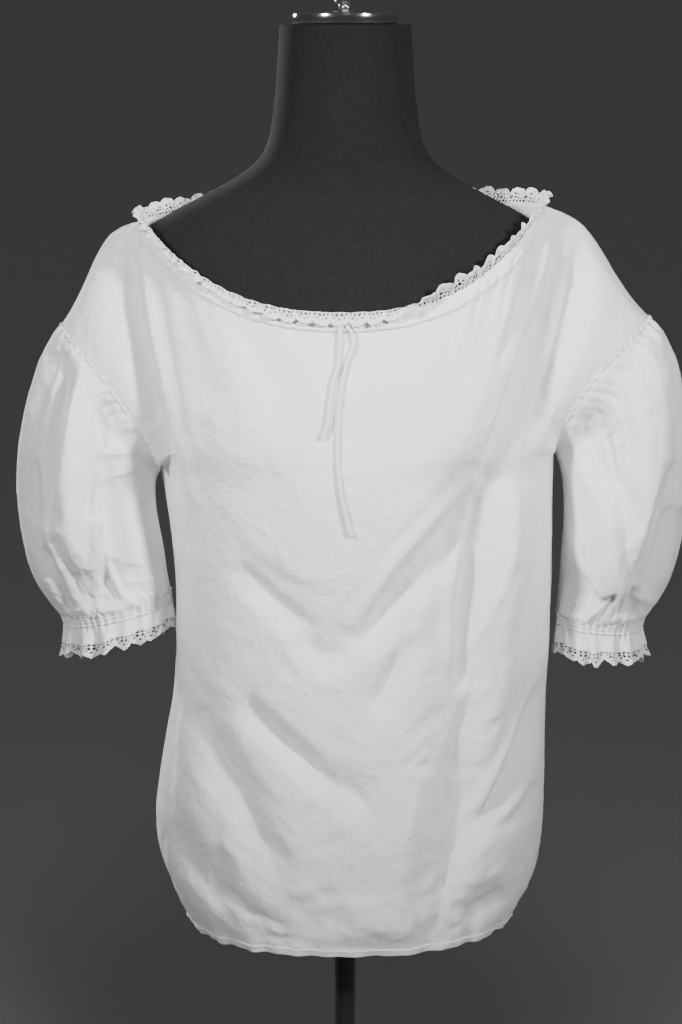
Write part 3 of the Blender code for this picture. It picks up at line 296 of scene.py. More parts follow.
# Large folds of the sleeves: from turn0 round the sleeve and run0 along it to turn1 and run1.
# A turn is a share of the way round, 0 at the shoulder, 0.25 in front and 0.5 at the body.
SleeveFold = namedtuple("SleeveFold", ("turn0", "run0", "turn1", "run1", "half_width", "depth"))
SLEEVE_RIGHT_FOLDS = {
    "outer trough": (0.06, 0.10, 0.10, 0.62, 13, -8),
    "second trough": (0.14, 0.10, 0.19, 0.58, 12, -8),
    "front ridge": (0.23, 0.30, 0.22, 0.80, 14, 5),
    "deep fold": (0.28, 0.30, 0.24, 0.92, 13, -10),
    "inner fold": (0.38, 0.22, 0.35, 0.86, 12, -8),
    "back trough": (0.90, 0.10, 0.84, 0.66, 14, -8),
    "back fold": (0.74, 0.24, 0.70, 0.88, 14, -9),
    "back inner fold": (0.62, 0.20, 0.64, 0.84, 12, -6),
}
SLEEVE_LEFT_FOLDS = {
    "front trough": (0.30, 0.06, 0.33, 0.44, 13, -9),
    "curved trough": (0.24, 0.08, 0.26, 0.34, 11, -6),
    "front swell": (0.20, 0.30, 0.19, 0.66, 24, 5),
    "outer crease": (0.10, 0.34, 0.14, 0.94, 13, -7),
    "low crease": (0.22, 0.70, 0.20, 0.96, 11, -6),
    "inner crease": (0.40, 0.30, 0.38, 0.90, 13, -7),
    "back trough": (0.88, 0.10, 0.82, 0.60, 14, -8),
    "back fold": (0.72, 0.20, 0.70, 0.86, 14, -9),
    "back outer crease": (0.94, 0.36, 0.92, 0.92, 13, -6),
}

# Sharper creases of the sleeves in front or back view, with the panels' columns
SLEEVE_RIGHT_FRONT_CREASES = {
    "outer trough": (-249, 1262, -266, 1200, -284, 1104, 11, -8.0, -0.5),
    "outer second": (-254, 1272, -266, 1243, -276, 1204, 7, -5.0, -0.4),
    "outer ridge": (-238, 1256, -252, 1200, -268, 1120, 9, 3.0),
    "middle fold": (-223, 1238, -225, 1190, -233, 1112, 14, -6.5, 0.62),
    "deep fold": (-208, 1172, -214, 1096, -226, 1022, 13, -11.0, 0.3),
    "deep fold edge": (-216, 1164, -224, 1096, -238, 1030, 6, 3.4),
    "inner fold": (-194, 1152, -184, 1098, -174, 1050, 12, -8.0, -0.5),
    "innermost fold": (-167, 1110, -166, 1080, -164, 1046, 7, -4.0, 0.4),
    "low line": (-270, 1096, -258, 1061, -245, 1022, 7, -4.4, 0.4),
    "low second": (-284, 1082, -270, 1050, -258, 1018, 7, -3.6, 0.3),
    "low third": (-236, 1062, -238, 1040, -240, 1018, 6, -3.6),
    "cuff fold": (-210, 1068, -204, 1048, -200, 1030, 6, -4.4, 0.4),
    "cuff second": (-190, 1064, -188, 1046, -187, 1034, 5, -3.6),
    "side crease": (-297, 1166, -293, 1113, -276, 1052, 9, -3.4, -0.3),
    "cap crease": (-238, 1250, -240, 1222, -246, 1190, 6, -3.4),
    "cap second": (-214, 1222, -216, 1200, -216, 1178, 5, -3.0),
}
SLEEVE_LEFT_FRONT_CREASES = {
    "front trough": (224, 1222, 218, 1180, 233, 1136, 11, -10.5, 0.62),
    "front trough edge": (236, 1226, 233, 1184, 246, 1142, 6, 4.0),
    "second trough": (232, 1252, 232, 1210, 237, 1182, 7, -6.5, 0.5),
    "third trough": (241, 1272, 244, 1244, 240, 1216, 7, -4.6, 0.4),
    "cap trough": (277, 1290, 267, 1270, 260, 1236, 8, -4.0, -0.3),
    "cap second": (258, 1284, 254, 1264, 252, 1242, 6, -3.4),
    "long shade": (232, 1200, 250, 1136, 266, 1044, 18, -6.0, 0.66),
    "outer crease": (300, 1164, 287, 1096, 272, 1032, 11, -6.5, 0.5),
    "outer second": (312, 1120, 302, 1076, 282, 1030, 8, -4.4, 0.4),
    "outer line": (252, 1154, 262, 1128, 273, 1100, 6, -3.0, 0.3),
    "low inner fold": (198, 1098, 212, 1052, 238, 1026, 12, -7.0, -0.5),
    "low inner second": (202, 1062, 214, 1036, 228, 1020, 6, -4.0),
    "low line": (246, 1040, 250, 1028, 254, 1014, 6, -3.6),
    "low outer": (270, 1040, 268, 1026, 266, 1012, 6, -3.6),
    "armpit crease": (200, 1150, 206, 1120, 204, 1086, 8, -3.0, 0.4),
}
SLEEVE_RIGHT_BACK_CREASES = {
    "outer trough": (-252, 1262, -268, 1194, -282, 1096, 11, -7.5, -0.5),
    "outer ridge": (-240, 1254, -254, 1196, -268, 1110, 9, 3.0),
    "middle fold": (-228, 1240, -232, 1180, -240, 1100, 12, -7.0, -0.5),
    "deep fold": (-206, 1190, -206, 1110, -214, 1040, 12, -9.0, 0.4),
    "inner fold": (-186, 1150, -184, 1096, -186, 1048, 9, -6.0, -0.4),
    "low outer": (-276, 1090, -262, 1054, -250, 1022, 8, -4.6, 0.4),
    "low middle": (-240, 1070, -236, 1044, -232, 1024, 7, -4.4),
    "low inner": (-210, 1070, -206, 1050, -204, 1032, 6, -4.0, 0.3),
    "cap crease": (-216, 1226, -218, 1200, -222, 1172, 6, -3.4),
}
SLEEVE_LEFT_BACK_CREASES = {
    "outer trough": (268, 1280, 280, 1210, 292, 1110, 11, -7.5, 0.5),
    "outer ridge": (256, 1270, 266, 1206, 276, 1120, 9, 3.0),
    "middle fold": (244, 1262, 246, 1200, 252, 1112, 13, -7.0, 0.5),
    "deep fold": (222, 1210, 222, 1130, 232, 1046, 12, -9.0, -0.4),
    "inner fold": (206, 1160, 208, 1100, 216, 1040, 9, -5.4, 0.4),
    "low outer": (294, 1090, 282, 1050, 270, 1018, 8, -4.6, -0.4),
    "low middle": (258, 1062, 256, 1040, 252, 1018, 7, -4.4),
    "low inner": (226, 1060, 228, 1040, 230, 1020, 6, -4.0, 0.3),
    "cap crease": (232, 1240, 232, 1210, 236, 1180, 6, -3.6),
}
SLEEVE_FACE_SHARE = 0.3
SLEEVE_TURN_LENGTH = 460
SLEEVE_RUN_LENGTH = 220
SLEEVE_FOLD_END_SHARE = 0.3
SLEEVE_TOP_HOLD = 0.08
SLEEVE_LOW_HOLD = 0.06
BODY_SIDE_HOLD = 0.25
BODY_SIDE_TURN = 0.2

# Gathers of a sleeve: how many, how far they reach from the armhole and from the cuff, how deep
GATHER_COLUMNS = ("count", "top_reach", "low_reach", "depth")
GATHERS = ((47, 0.12, 0.11, 2.6), (29, 0.22, 0.20, 3.9), (15, 0.40, 0.38, 3.8), (8, 0.66, 0.55, 2.0))

# The cuffs below the sleeves, with the sleeves' columns
CUFF_RIGHT = {
    "casing top": (-271, 1009, -167, 1032, -47, 47),
    "casing low": (-268, 998, -166, 1021, -45, 45),
    "frill low": (-268, 981, -165, 1008, -48, 48),
    "lace low": (-270, 969, -164, 999, -50, 50),
}
CUFF_LEFT = {
    "casing top": (285, 1006, 202, 1011, -46, 46),
    "casing low": (283, 995, 202, 1000, -44, 44),
    "frill low": (285, 979, 202, 983, -48, 48),
    "lace low": (287, 967, 202, 971, -50, 50),
}
CUFF_COLUMNS = 288
CASING_ROWS = 15
FRILL_ROWS = 17
CASING_RIPPLES = 43
CASING_RIPPLE = 1.5
SHIRRING_ROWS = (0.22, 0.5, 0.78)
SHIRRING_DEPTH = 0.9
FRILL_WAVES = 16
FRILL_RIPPLE = 3.8
CUFF_SCALLOPS = 20
CUFF_LACE_TUCK = 0.8
CUFF_LACE_LAYER = -0.6

# Flat cuts of what shows, in metres
CUFF_CUTS = ((0.38, 0.0130), (0.38, 0.0145))

# The scalloped edging. Its lean goes by places along the neckline, -1 at the right end and 1 at the
# left, and degrees out from upright.
NECK_FRONT_SCALLOPS = 32
NECK_BACK_SCALLOPS = 28
LACE_ROWS = 22
LACE_STEPS = 24
LACE_LEAN = ((-1.0, 22), (-0.9, 36), (-0.8, 80), (-0.7, 140), (-0.5, 158), (-0.25, 164), (0.0, 162),
             (0.12, 150), (0.22, 100), (0.32, 50), (0.45, 30), (0.7, 24), (0.9, 22), (1.0, 16))
LACE_LEAN_BACK = ((-1, 38), (1, 38))
CUFF_LACE_LEAN = ((-1, 0), (1, 0))
LACE_LEAN_OVER = 60
LACE_OVER_RISE = 1.6
LACE_TUCK = 1.0
LACE_LAYER = 0.65
LACE_BELOW = 3

# Holes of one scallop: place along it and in its height from 0 to 1, half width, half height
LACE_HOLES = (
    (0.125, 0.13, 0.082, 0.070), (0.375, 0.13, 0.082, 0.070), (0.625, 0.13, 0.082, 0.070),
    (0.875, 0.13, 0.082, 0.070), (0.36, 0.36, 0.092, 0.105), (0.64, 0.36, 0.092, 0.105),
    (0.14, 0.33, 0.060, 0.085), (0.86, 0.33, 0.060, 0.085), (0.24, 0.56, 0.062, 0.070),
    (0.50, 0.62, 0.085, 0.062), (0.76, 0.56, 0.062, 0.070),
)

# The free ends of the drawstring, along the front of the blouse
STRING_LONG = ((1, -103.2, 1297), (6, -105.2, 1288), (7, -107.6, 1278), (2, -110.8, 1266),
               (-2, -114.4, 1252), (-4, -118.2, 1238), (-6, -122.0, 1221), (-7, -124.8, 1206),
               (-7, -127.2, 1191), (-7, -129.4, 1177), (-6, -130.7, 1163), (-4, -131.2, 1147),
               (0, -131.0, 1128), (5, -130.2, 1109))
STRING_SHORT = ((-5, -103.2, 1297), (-5, -106.2, 1284), (-6, -109.4, 1272), (-7, -112.6, 1260),
                (-11, -115.6, 1249), (-14, -120.4, 1230), (-15, -123.2, 1219), (-16, -125.2, 1210),
                (-21, -127.4, 1197))
STRING_STEPS = 260
STRING_SIDES = 18
STRING_STRANDS = 3
STRING_TURN_LENGTH = 9.0
STRING_GROOVE = 0.13
STRING_END_LENGTH = 2.0

# The dress form: height, half width, reach to the front and back, and squareness
FORM_RINGS = (
    (768, 140, -92, 92, 2.2), (774, 152, -101, 101, 2.2), (812, 160, -109, 98, 2.2),
    (880, 151, -104, 94, 2.2), (985, 124, -88, 80, 2.1), (1060, 132, -98, 86, 2.1),
    (1165, 148, -116, 95, 2.1), (1225, 156, -111, 93, 2.1), (1272, 176, -101, 90, 2.0),
    (1312, 191, -91, 86, 1.95), (1345, 200, -81, 81, 1.85), (1368, 190.5, -72, 75, 1.72),
    (1388, 164, -66, 71, 1.65), (1408, 126, -60, 67, 1.65), (1428, 92, -58, 65, 1.85),
    (1450, 73, -58, 62, 2.0), (1492, 65, -58, 58, 2.0), (1560, 60, -58, 54, 2.0),
)
FORM_COLUMN_COUNT = 28
FORM_STEPS = 4
CAP_PROFILE = ((0, 1571), (44, 1571), (47, 1570.6), (48.6, 1569.4), (49, 1567.5), (49, 1562),
               (48.4, 1560.8), (47, 1560.3), (0, 1560.3))
KNOB_PROFILE = ((0, 1600), (3.1, 1599.6), (6, 1598.4), (8.5, 1596.5), (10.4, 1594), (11.6, 1591.1),
                (12, 1588), (11.6, 1584.9), (10.4, 1582), (8.6, 1579.7), (6.8, 1578.6), (6, 1577.6),
                (6, 1573.2), (7.4, 1572), (8, 1571.3), (0, 1571.3))
POLE_PROFILE = ((0, 767.7), (10, 767.7), (10, 30), (12, 28.5), (12, 26.3), (0, 26.3))
BASE_PROFILE = ((0, 26), (18, 26), (19.4, 25.4), (20, 24), (20, 18), (22, 16.4), (60, 16),
                (110, 13), (154, 10), (158, 8.8), (160, 6), (160, 1), (159, 0), (0, 0))
ROUND_SIDES = 96

# The least room between cloth and form, how softly the cloth meets it, the height at which its reach
# ends and fades, and the room past which nothing is lifted
FORM_REST = 2.5
FORM_SOFTNESS = 2.0
FORM_TOP = 1400
FORM_TOP_FADE = 30
FORM_NEAR = 20.0

# Short wrinkles, each between two limits in millimetres. The bend is a share of their half length.
WRINKLE_HALF_LENGTH = (9, 32)
WRINKLE_HALF_WIDTH = (2.6, 6.0)
WRINKLE_DEPTH = (-2.2, 1.5)
WRINKLE_BEND = 0.22
WRINKLE_SEED = 5

# Fine unevenness of washed cotton: its size across and down, its depth, and its place in the noise.
# It is weaker at the neck and the sleeves' seams, and grows toward the hem.
Crumple = namedtuple("Crumple", ("across", "down", "amount", "place"))
PANEL_WAVES = Crumple(45, 60, 2.0, 3.1)
PANEL_RIDGES = (Crumple(16, 14, 1.0, 7.7), Crumple(7, 7, 0.4, 1.3))
SLEEVE_RIDGES = (Crumple(24, 60, 2.4, 11.0), Crumple(10, 18, 0.6, 5.0))
CRUMPLE_RISE = 0.2
CRUMPLE_AT_NECK = 0.25
CRUMPLE_AT_SEAMS = 0.2
LOW_CRUMPLE_LEAST = 0.55
LOW_CRUMPLE_GAIN = 0.9
LOW_CRUMPLE_FROM = 780
LOW_CRUMPLE_FADE = 160

# Puckers below the neck casing and the fine ripple of the casing itself, in millimetres. On the front
# they grow toward the left end and shrink toward the right one, by shares of the way there.
PUCKER_SEEDS = {-1: 21, 1: 22}
PUCKER_LENGTH = (16, 46)
PUCKER_DEPTH = (1.2, 2.9)
PUCKER_SPACING = (5.5, 10.5)
PUCKER_DRIFT = 0.22
PUCKER_END_ROOM = 6
PUCKER_WIDTH = 2.2
PUCKER_SPREAD = 0.05
PUCKER_SHARPNESS = 1.5
PUCKER_FALL = 0.8
PUCKER_AT_EDGE = 0.45
PUCKER_FULL_BELOW = 9
PUCKER_LEFT_GAIN = 0.7
PUCKER_LEFT_FROM = -0.1
PUCKER_LEFT_FADE = 0.5
PUCKER_RIGHT_LOSS = 0.25
PUCKER_RIGHT_FADE = 0.3
NECK_RIPPLE = 0.55
NECK_RIPPLE_DRIFT = 1.6
NECK_RIPPLE_DRIFT_LENGTH = 17
NECK_RIPPLE_LENGTH = 5.2
NECK_RIPPLE_BELOW = 13
NECK_RIPPLE_FADE = 5

# How many columns in from a side the forms reach their full depth
EDGE_HOLD_COLUMNS = 1.5
CREASE_HOLD_COLUMNS = 3.5

# The hem's long wave and its flutter: depth in millimetres and pace for each column
HEM_WAVE = 1.2
HEM_WAVE_PACE = 1.9
HEM_FLUTTER = 0.7
HEM_FLUTTER_PACE = 3.7
HEM_FLUTTER_START = 2
HEM_WAVE_ROWS = 3

# Shape of the gathers' waves, and the share of their depth near the underarm and at both seams
GATHER_DRIFT = 0.42
GATHER_BEND = 0.5
GATHER_SHARPNESS = 0.75
GATHER_LEVEL = 0.62
GATHER_VARIES = 0.3
GATHER_FALL = 1.3
GATHER_UNDERARM = 0.25
UNDERARM_TURN = 0.12
UNDERARM_FADE = 0.15
GATHER_AT_ARMHOLE = 0.5
GATHER_AT_CUFF = 0.3
GATHER_SEAM_RUN = 0.05

# Waves of the cuffs: depths in millimetres, a count for the whole turn, and shares
CUFF_WAVE = 0.7
CUFF_RIPPLE_DRIFT = 1.3
CUFF_VARIES = 0.35
CUFF_TOP_TUCK = 0.5
SHIRRING_WIDTH = 0.07
FRILL_DRIFT = 0.7
FRILL_WAVE_LEAST = 0.6
FRILL_SPREAD = 0.8
FRILL_FLUTTER = 0.5
FRILL_FLUTTERS = 37
FRILL_EDGE_FLUTTER = 0.8

# The armhole's seam: how many puckers, and how far they thicken and thin it
SEAM_PUCKERS = 56
SEAM_PUCKER = 0.6
SEAM_PUCKER_DRIFT = 1.5
SEAM_SHOULDER_GAIN = 0.4
SEAM_SIDES = 8

# A scallop's height at its foot as a share, and how round its tip is. Scallops vary in height by these
# shares, at a pace for each scallop.
NECK_SCALLOP = (0.60, 0.55)
CUFF_SCALLOP = (0.55, 0.8)
SCALLOPS_VARY = ((0.06, 2.3), (0.03, 5.1))

# How the edging rises from the cloth, leans more from foot to tip, sways and ripples
LACE_FOOT = 0.2
LACE_LEAN_START = 0.4
LACE_LEAN_GAIN = 0.95
LACE_LEAN_FULL_AT = 0.4
LACE_LEAN_MOST = 172
LACE_SWAY = 0.16
LACE_SWAY_PACE = 1.7
LACE_RIPPLE = 0.35

# Stitches, in millimetres or as shares of their pitch
STITCH_RADIUS = 0.28
STITCH_START = 0.5
STITCH_SPOTS = (0, 0.35, 0.7)
STITCH_LIFT = (0.1, 0.3, 0.1)

# Materials: the pitch of the weaves in metres, how far a thread's unevenness is drawn out each way,
# what threads and clouds add to the shade, and the relief of the weave and of pressed ridges
COTTON_PITCH = 0.0009
JERSEY_PITCH = 0.0011
THREAD_SCALES = ((90, 900, 1), (900, 90, 1))
THREAD_SHADE = 0.35
CLOUD_SHADE = 0.3
WEAVE_RELIEF = 0.12
PRESSED_RELIEF = 2.2
JERSEY_RELIEF = 0.5

# The studio, in metres and degrees, with the camera's sensor in millimetres
CAMERA_PLACE = (-0.004, -2.28, 1.55)
CAMERA_TILT = 79
SENSOR_WIDTH = 36

# Lights: name, the setting that holds the power, place, aim, size and spread
LIGHTS = (
    ("key light", "key", (0.15, -2.5, 3.1), (0, 0, 1.1), 0.6, 180),
    ("right light", "side", (2.0, -2.0, 2.5), (-0.48, 0, 1.14), 0.4, 30),
    ("left light", "side", (-2.0, -2.0, 2.5), (0.6, 0, 1.14), 0.4, 30),
    ("back light", "back", (-1.7, 2.3, 2.1), (0, 0, 1.05), 0.8, 50),
)

# The direction of the sky at which its brightness starts and stops to change, as a share of straight up
SKY_HEIGHTS = (0.04, 0.7)
FLOOR_RADIUS = 60
FLOOR_SIDES = 64

# Angles in degrees past which an edge is sharp
TURNED_SHARP = 40
FORM_SHARP = 50

# Differences that count as none, and how many faces apart a shape is asked which way it faces
HAIR = 1e-6
TINY = 1e-12
FACING_STEP = 37


def smooth(t):
    t = np.clip(t, 0.0, 1.0)
    return t * t * (3 - 2 * t)


def unit(vectors):
    return vectors / (np.linalg.norm(vectors, axis=-1, keepdims=True) + TINY)


def lengths_along(line):
    """Length from a line's start to each of its points."""
    return np.concatenate(((0,), np.cumsum(np.linalg.norm(np.diff(line, axis=0), axis=1))))


def curve_through(a, b, c, d, t):
    """A smooth curve from b to c, led by the points beside them."""
    return ((2 * t**3 - 3 * t**2 + 1) * b + (t**3 - 2 * t**2 + t) * 0.5 * (c - a)
            + (3 * t**2 - 2 * t**3) * c + (t**3 - t**2) * 0.5 * (d - b))


def spline(values, share):
    """Read a smooth curve through evenly spaced values, with share from 0 to 1."""
    last = len(values) - 1
    place = min(max(share, 0.0), 1.0) * last
    i = min(int(place), last - 1)
    a, b, c, d = values[max(i - 1, 0)], values[i], values[i + 1], values[min(i + 2, last)]
    return curve_through(a, b, c, d, place - i)


def finer(net, axis, steps, closed=False):
    """A smooth net through the points of a coarse one, with steps for each of its spans."""
    net = np.moveaxis(net, axis, 0)
    count = len(net)
    spans = count if closed else count - 1
    place = np.arange(spans * steps + 1) / steps
    i = np.minimum(place.astype(int), spans - 1)

    def pick(k):
        return net[k % count] if closed else net[np.clip(k, 0, count - 1)]

    a, b, c, d = pick(i - 1), pick(i), pick(i + 1), pick(i + 2)
    if not closed:
        a[i == 0] = 2 * b[i == 0] - c[i == 0]
        d[i == spans - 1] = 2 * c[i == spans - 1] - b[i == spans - 1]
    return np.moveaxis(curve_through(a, b, c, d, (place - i)[:, None, None]), 0, axis)


def rounded(angle, square):
    return abs(math.sin(angle)) ** (2 / square), abs(math.cos(angle)) ** (2 / square)


# The form of the panels, as the solids have it: s is -1 at the right side and 1 at the left side

def body_point(s, level, face):
    """A point below the underarm, on the front (face -1) or the back (1)."""
    values = (spline(column, level) for column in zip(*BODY_RINGS.values()))
    z_right, z_middle, z_left, x_right, x_left, y_front, y_back, square = values
    width, depth = rounded(s * math.pi / 2, square)
    z_side = z_left if s > 0 else z_right
    x = (x_left if s > 0 else x_right) * width
    y = (y_front if face < 0 else y_back) * depth
    return np.array((x, y, z_middle + (z_side - z_middle) * s * s))


def neckline_point(t, face):
    corner = np.array(NECK_CORNER_LEFT if t > 0 else NECK_CORNER_RIGHT, float)
    middle = np.array(NECK_FRONT_MIDDLE if face < 0 else NECK_BACK_MIDDLE, float)
    out = math.sin(abs(t) * math.pi / 2)
    depth = max(math.cos(t * math.pi / 2), 0.0) ** NECK_ROUND
    z = middle[2] + (corner[2] - middle[2]) * out ** NECK_SCOOP
    return np.array((corner[0] * out, corner[1] + (middle[1] - corner[1]) * depth, z))


def top_point(s, face):
    """A point of the panel's upper edge: the neckline, and the shoulder line outside it."""
    neck_share = 1 - 2 * SHOULDER_COLUMNS / PANEL_COLUMNS
    if abs(s) <= neck_share + HAIR:
        return neckline_point(s / neck_share, face)
    knots = SHOULDER_LEFT if s > 0 else SHOULDER_RIGHT
    share = (abs(s) - neck_share) / (1 - neck_share)
    return np.array((spline([k[0] for k in knots], share), 0, spline([k[1] for k in knots], share)))


def armhole_point(side, turn):
    """A point of the armhole: turn 0 on the shoulder, 0.25 in front, 0.5 at the underarm."""
    top = top_point(side, -1)
    low = body_point(side, 1, -1)
    angle = TAU * turn
    point = (top + low) / 2 + (top - low) / 2 * math.cos(angle)
    point[0] += (ARMHOLE_INSET_LEFT if side > 0 else ARMHOLE_INSET_RIGHT) * math.sin(angle) ** 2
    point[1] = -ARMHOLE_REACH * math.sin(angle)
    return point


def yoke_point(s, row, face):
    """A point between the underarm ring (row 0) and the neckline and shoulders (row 8)."""
    edge_share = 0.5 - 0.5 * math.cos(math.pi * row / YOKE_ROWS)
    hold = smooth((abs(s) - EDGE_HOLD_FROM) / (1 - EDGE_HOLD_FROM))
    share = YOKE_MIDDLE_ROWS[row] * (1 - hold) + edge_share * hold
    point = body_point(s, 1, face) * (1 - share) + top_point(s, face) * share
    full = smooth(abs(s) / YOKE_SWELL_FULL_AT)
    swell = YOKE_SWELL_MIDDLE + (YOKE_SWELL_CORNER - YOKE_SWELL_MIDDLE) * full
    point[1] += face * swell * max(math.sin(math.pi * share), 0.0) ** YOKE_SWELL_ROUND * (1 - hold)
    side = 1 if s > 0 else -1
    turn = 0.5 - 0.5 * row / YOKE_ROWS
    turn = 1 - turn if face > 0 else turn
    straight = body_point(side, 1, face) * (1 - edge_share) + top_point(side, face) * edge_share
    return point + (armhole_point(side, turn % 1.0) - straight) * hold


def panel_net(face):
    """The unfolded panel at the solids' own spacing, rows from the hem to the neckline."""
    places = [2 * i / PANEL_COLUMNS - 1 for i in range(PANEL_COLUMNS + 1)]
    levels = [0.0]
    for i in range(SKIRT_ROWS):
        levels.append(HEM_DEPTH_SHARE + (1 - HEM_DEPTH_SHARE) * i / (SKIRT_ROWS - 1))
    net = [[body_point(s, level, face) for s in places] for level in levels]
    net += [[yoke_point(s, row, face) for s in places] for row in range(1, YOKE_ROWS + 1)]
    net = np.array(net)
    soft = net[SKIRT_ROWS + 2:-1]
    for _ in range(YOKE_SOFTENING):
        soft[:, 1:-1] = (soft[:, :-2] + 2 * soft[:, 1:-1] + soft[:, 2:]) / 4
    return net


def outward(net, closed, inside):
    """Unit directions out of a net of points, away from the points inside it."""
    if closed:
        ring = net[:, :-1]
        across = np.roll(ring, -1, 1) - np.roll(ring, 1, 1)
        across = np.concatenate((across, across[:, :1]), 1)
    else:
        across = np.gradient(net, axis=1)
    out = unit(np.cross(across, np.gradient(net, axis=0)))
    turned = np.sum(out * (net - inside), axis=2) < 0
    out[turned] *= -1
    return out


def beside_axis(net):
    inside = np.zeros_like(net)
    inside[..., 2] = net[..., 2] - AXIS_DROP
    return inside


def ring_middles(net):
    """The middle of each ring of a closed net, for each of its points."""
    return np.broadcast_to(net[:, :-1].mean(axis=1, keepdims=True), net.shape)


# Folds

def bent_line(fold):
    knots = ((fold.x0, fold.z0), (fold.x1, fold.z1), (fold.x2, fold.z2))
    return [tuple(spline([k[axis] for k in knots], i / FOLD_LINE_STEPS) for axis in (0, 1))
            for i in range(FOLD_LINE_STEPS + 1)]


def line_place(x, z, line):
    """Distance from each place to a bent line, its side of it, and the share along it."""
    best = np.full(x.shape, np.inf)
    share = np.zeros(x.shape)
    side = np.zeros(x.shape)
    spans = len(line) - 1
    for k in range(spans):
        (ax, az), (bx, bz) = line[k], line[k + 1]
        run_x, run_z = bx - ax, bz - az
        t = np.clip(((x - ax) * run_x + (z - az) * run_z) / (run_x**2 + run_z**2), 0, 1)
        distance = np.hypot(x - ax - t * run_x, z - az - t * run_z)
        closer = distance < best
        best = np.where(closer, distance, best)
        side = np.where(closer, run_x * (z - az) - run_z * (x - ax), side)
        share = np.where(closer, (k + t) / spans, share)
    return best, np.sign(side), share


def fold_depth(x, z, folds, end_share, sharpness=None):
    """Sum of the folds at each place: rounded ones, or ones with a crease along their middle."""
    total = np.zeros(x.shape)
    for fold in folds:
        line = bent_line(fold)
        widest = 2 * fold.half_width * (1 + abs(fold.lean))
        xs, zs = zip(*line)
        near = ((x > min(xs) - widest) & (x < max(xs) + widest)
                & (z > min(zs) - widest) & (z < max(zs) + widest))
        if not near.any():
            continue
        distance, side, share = line_place(x[near], z[near], line)
        left = np.clip(1 - distance / (2 * fold.half_width * (1 + fold.lean * side)), 0, 1)
        across = smooth(left) if sharpness is None else 0.5 * left ** sharpness + 0.5 * smooth(left)
        full = np.sin(math.pi * share) ** CREASE_FULLNESS
        total[near] += fold.depth * across * (end_share + (1 - end_share) * full)
    return total


def wrinkles(regions, seed):
    """Short wrinkles spread unevenly over each region."""
    dice = np.random.RandomState(seed)
    made = []
    for row in regions.values():
        region = dict(zip(WRINKLE_COLUMNS, row))
        for _ in range(region["count"]):
            x = dice.uniform(region["x_low"], region["x_high"])
            z = dice.uniform(region["z_low"], region["z_high"])
            slope = math.radians(dice.uniform(region["slope_low"], region["slope_high"]))
            half = dice.uniform(*WRINKLE_HALF_LENGTH)
            bend = dice.uniform(-WRINKLE_BEND, WRINKLE_BEND) * half
            step = (half * math.cos(slope), half * math.sin(slope))
            bent = (x - bend * math.sin(slope), z + bend * math.cos(slope))
            half_width = dice.uniform(*WRINKLE_HALF_WIDTH)
            depth = dice.uniform(*WRINKLE_DEPTH)
            made.append(Fold(x - step[0], z - step[1], *bent, x + step[0], z + step[1], half_width, depth))
    return made


def crumple(net, kind, side):
    """Fine unevenness of washed cotton: soft ridges of uneven height."""
    start = kind.place * side
    places = (Vector((x / kind.across, y / kind.across + start, z / kind.down))
              for x, y, z in net.reshape(-1, 3))
    values = [CRUMPLE_RISE - abs(noise.noise(place)) for place in places]
    return kind.amount * np.array(values).reshape(net.shape[:2])


def off_form(net):
    """Lift cloth that would sink into the dress form, so that it lies on it."""
    heights = np.array([ring[0] for ring in FORM_RINGS], float)
    width, front, back, square = (np.interp(net[..., 2], heights, [abs(ring[k]) for ring in FORM_RINGS])
                                  for k in (1, 2, 3, 4))
    reach = np.where(net[..., 1] < 0, front, back)
    inside = (np.abs(net[..., 0]) / width) ** square + (np.abs(net[..., 1]) / reach) ** square
    away = np.hypot(net[..., 0], net[..., 1])
    clear = away * (1 - np.maximum(inside, HAIR) ** (-1 / square))
    wanted = 0.5 * (clear + FORM_REST + np.sqrt((clear - FORM_REST) ** 2 + FORM_SOFTNESS ** 2))
    near = smooth((FORM_TOP - net[..., 2]) / FORM_TOP_FADE) * (clear < FORM_NEAR)
    scale = 1 + np.clip(wanted - clear, 0, None) * near / np.maximum(away, 1)
    lifted = net.copy()
    lifted[..., :2] *= scale[..., None]
    return lifted


def neck_places(net):
    """For each point of a panel, how far along the neckline and how far below it that is."""
    along = lengths_along(net[-1])
    along -= along[len(along) // 2]
    drops = np.linalg.norm(np.diff(net[::-1], axis=0), axis=2)
    below = np.concatenate((np.zeros((1, net.shape[1])), np.cumsum(drops, axis=0)))[::-1]
    return np.broadcast_to(along, below.shape), below


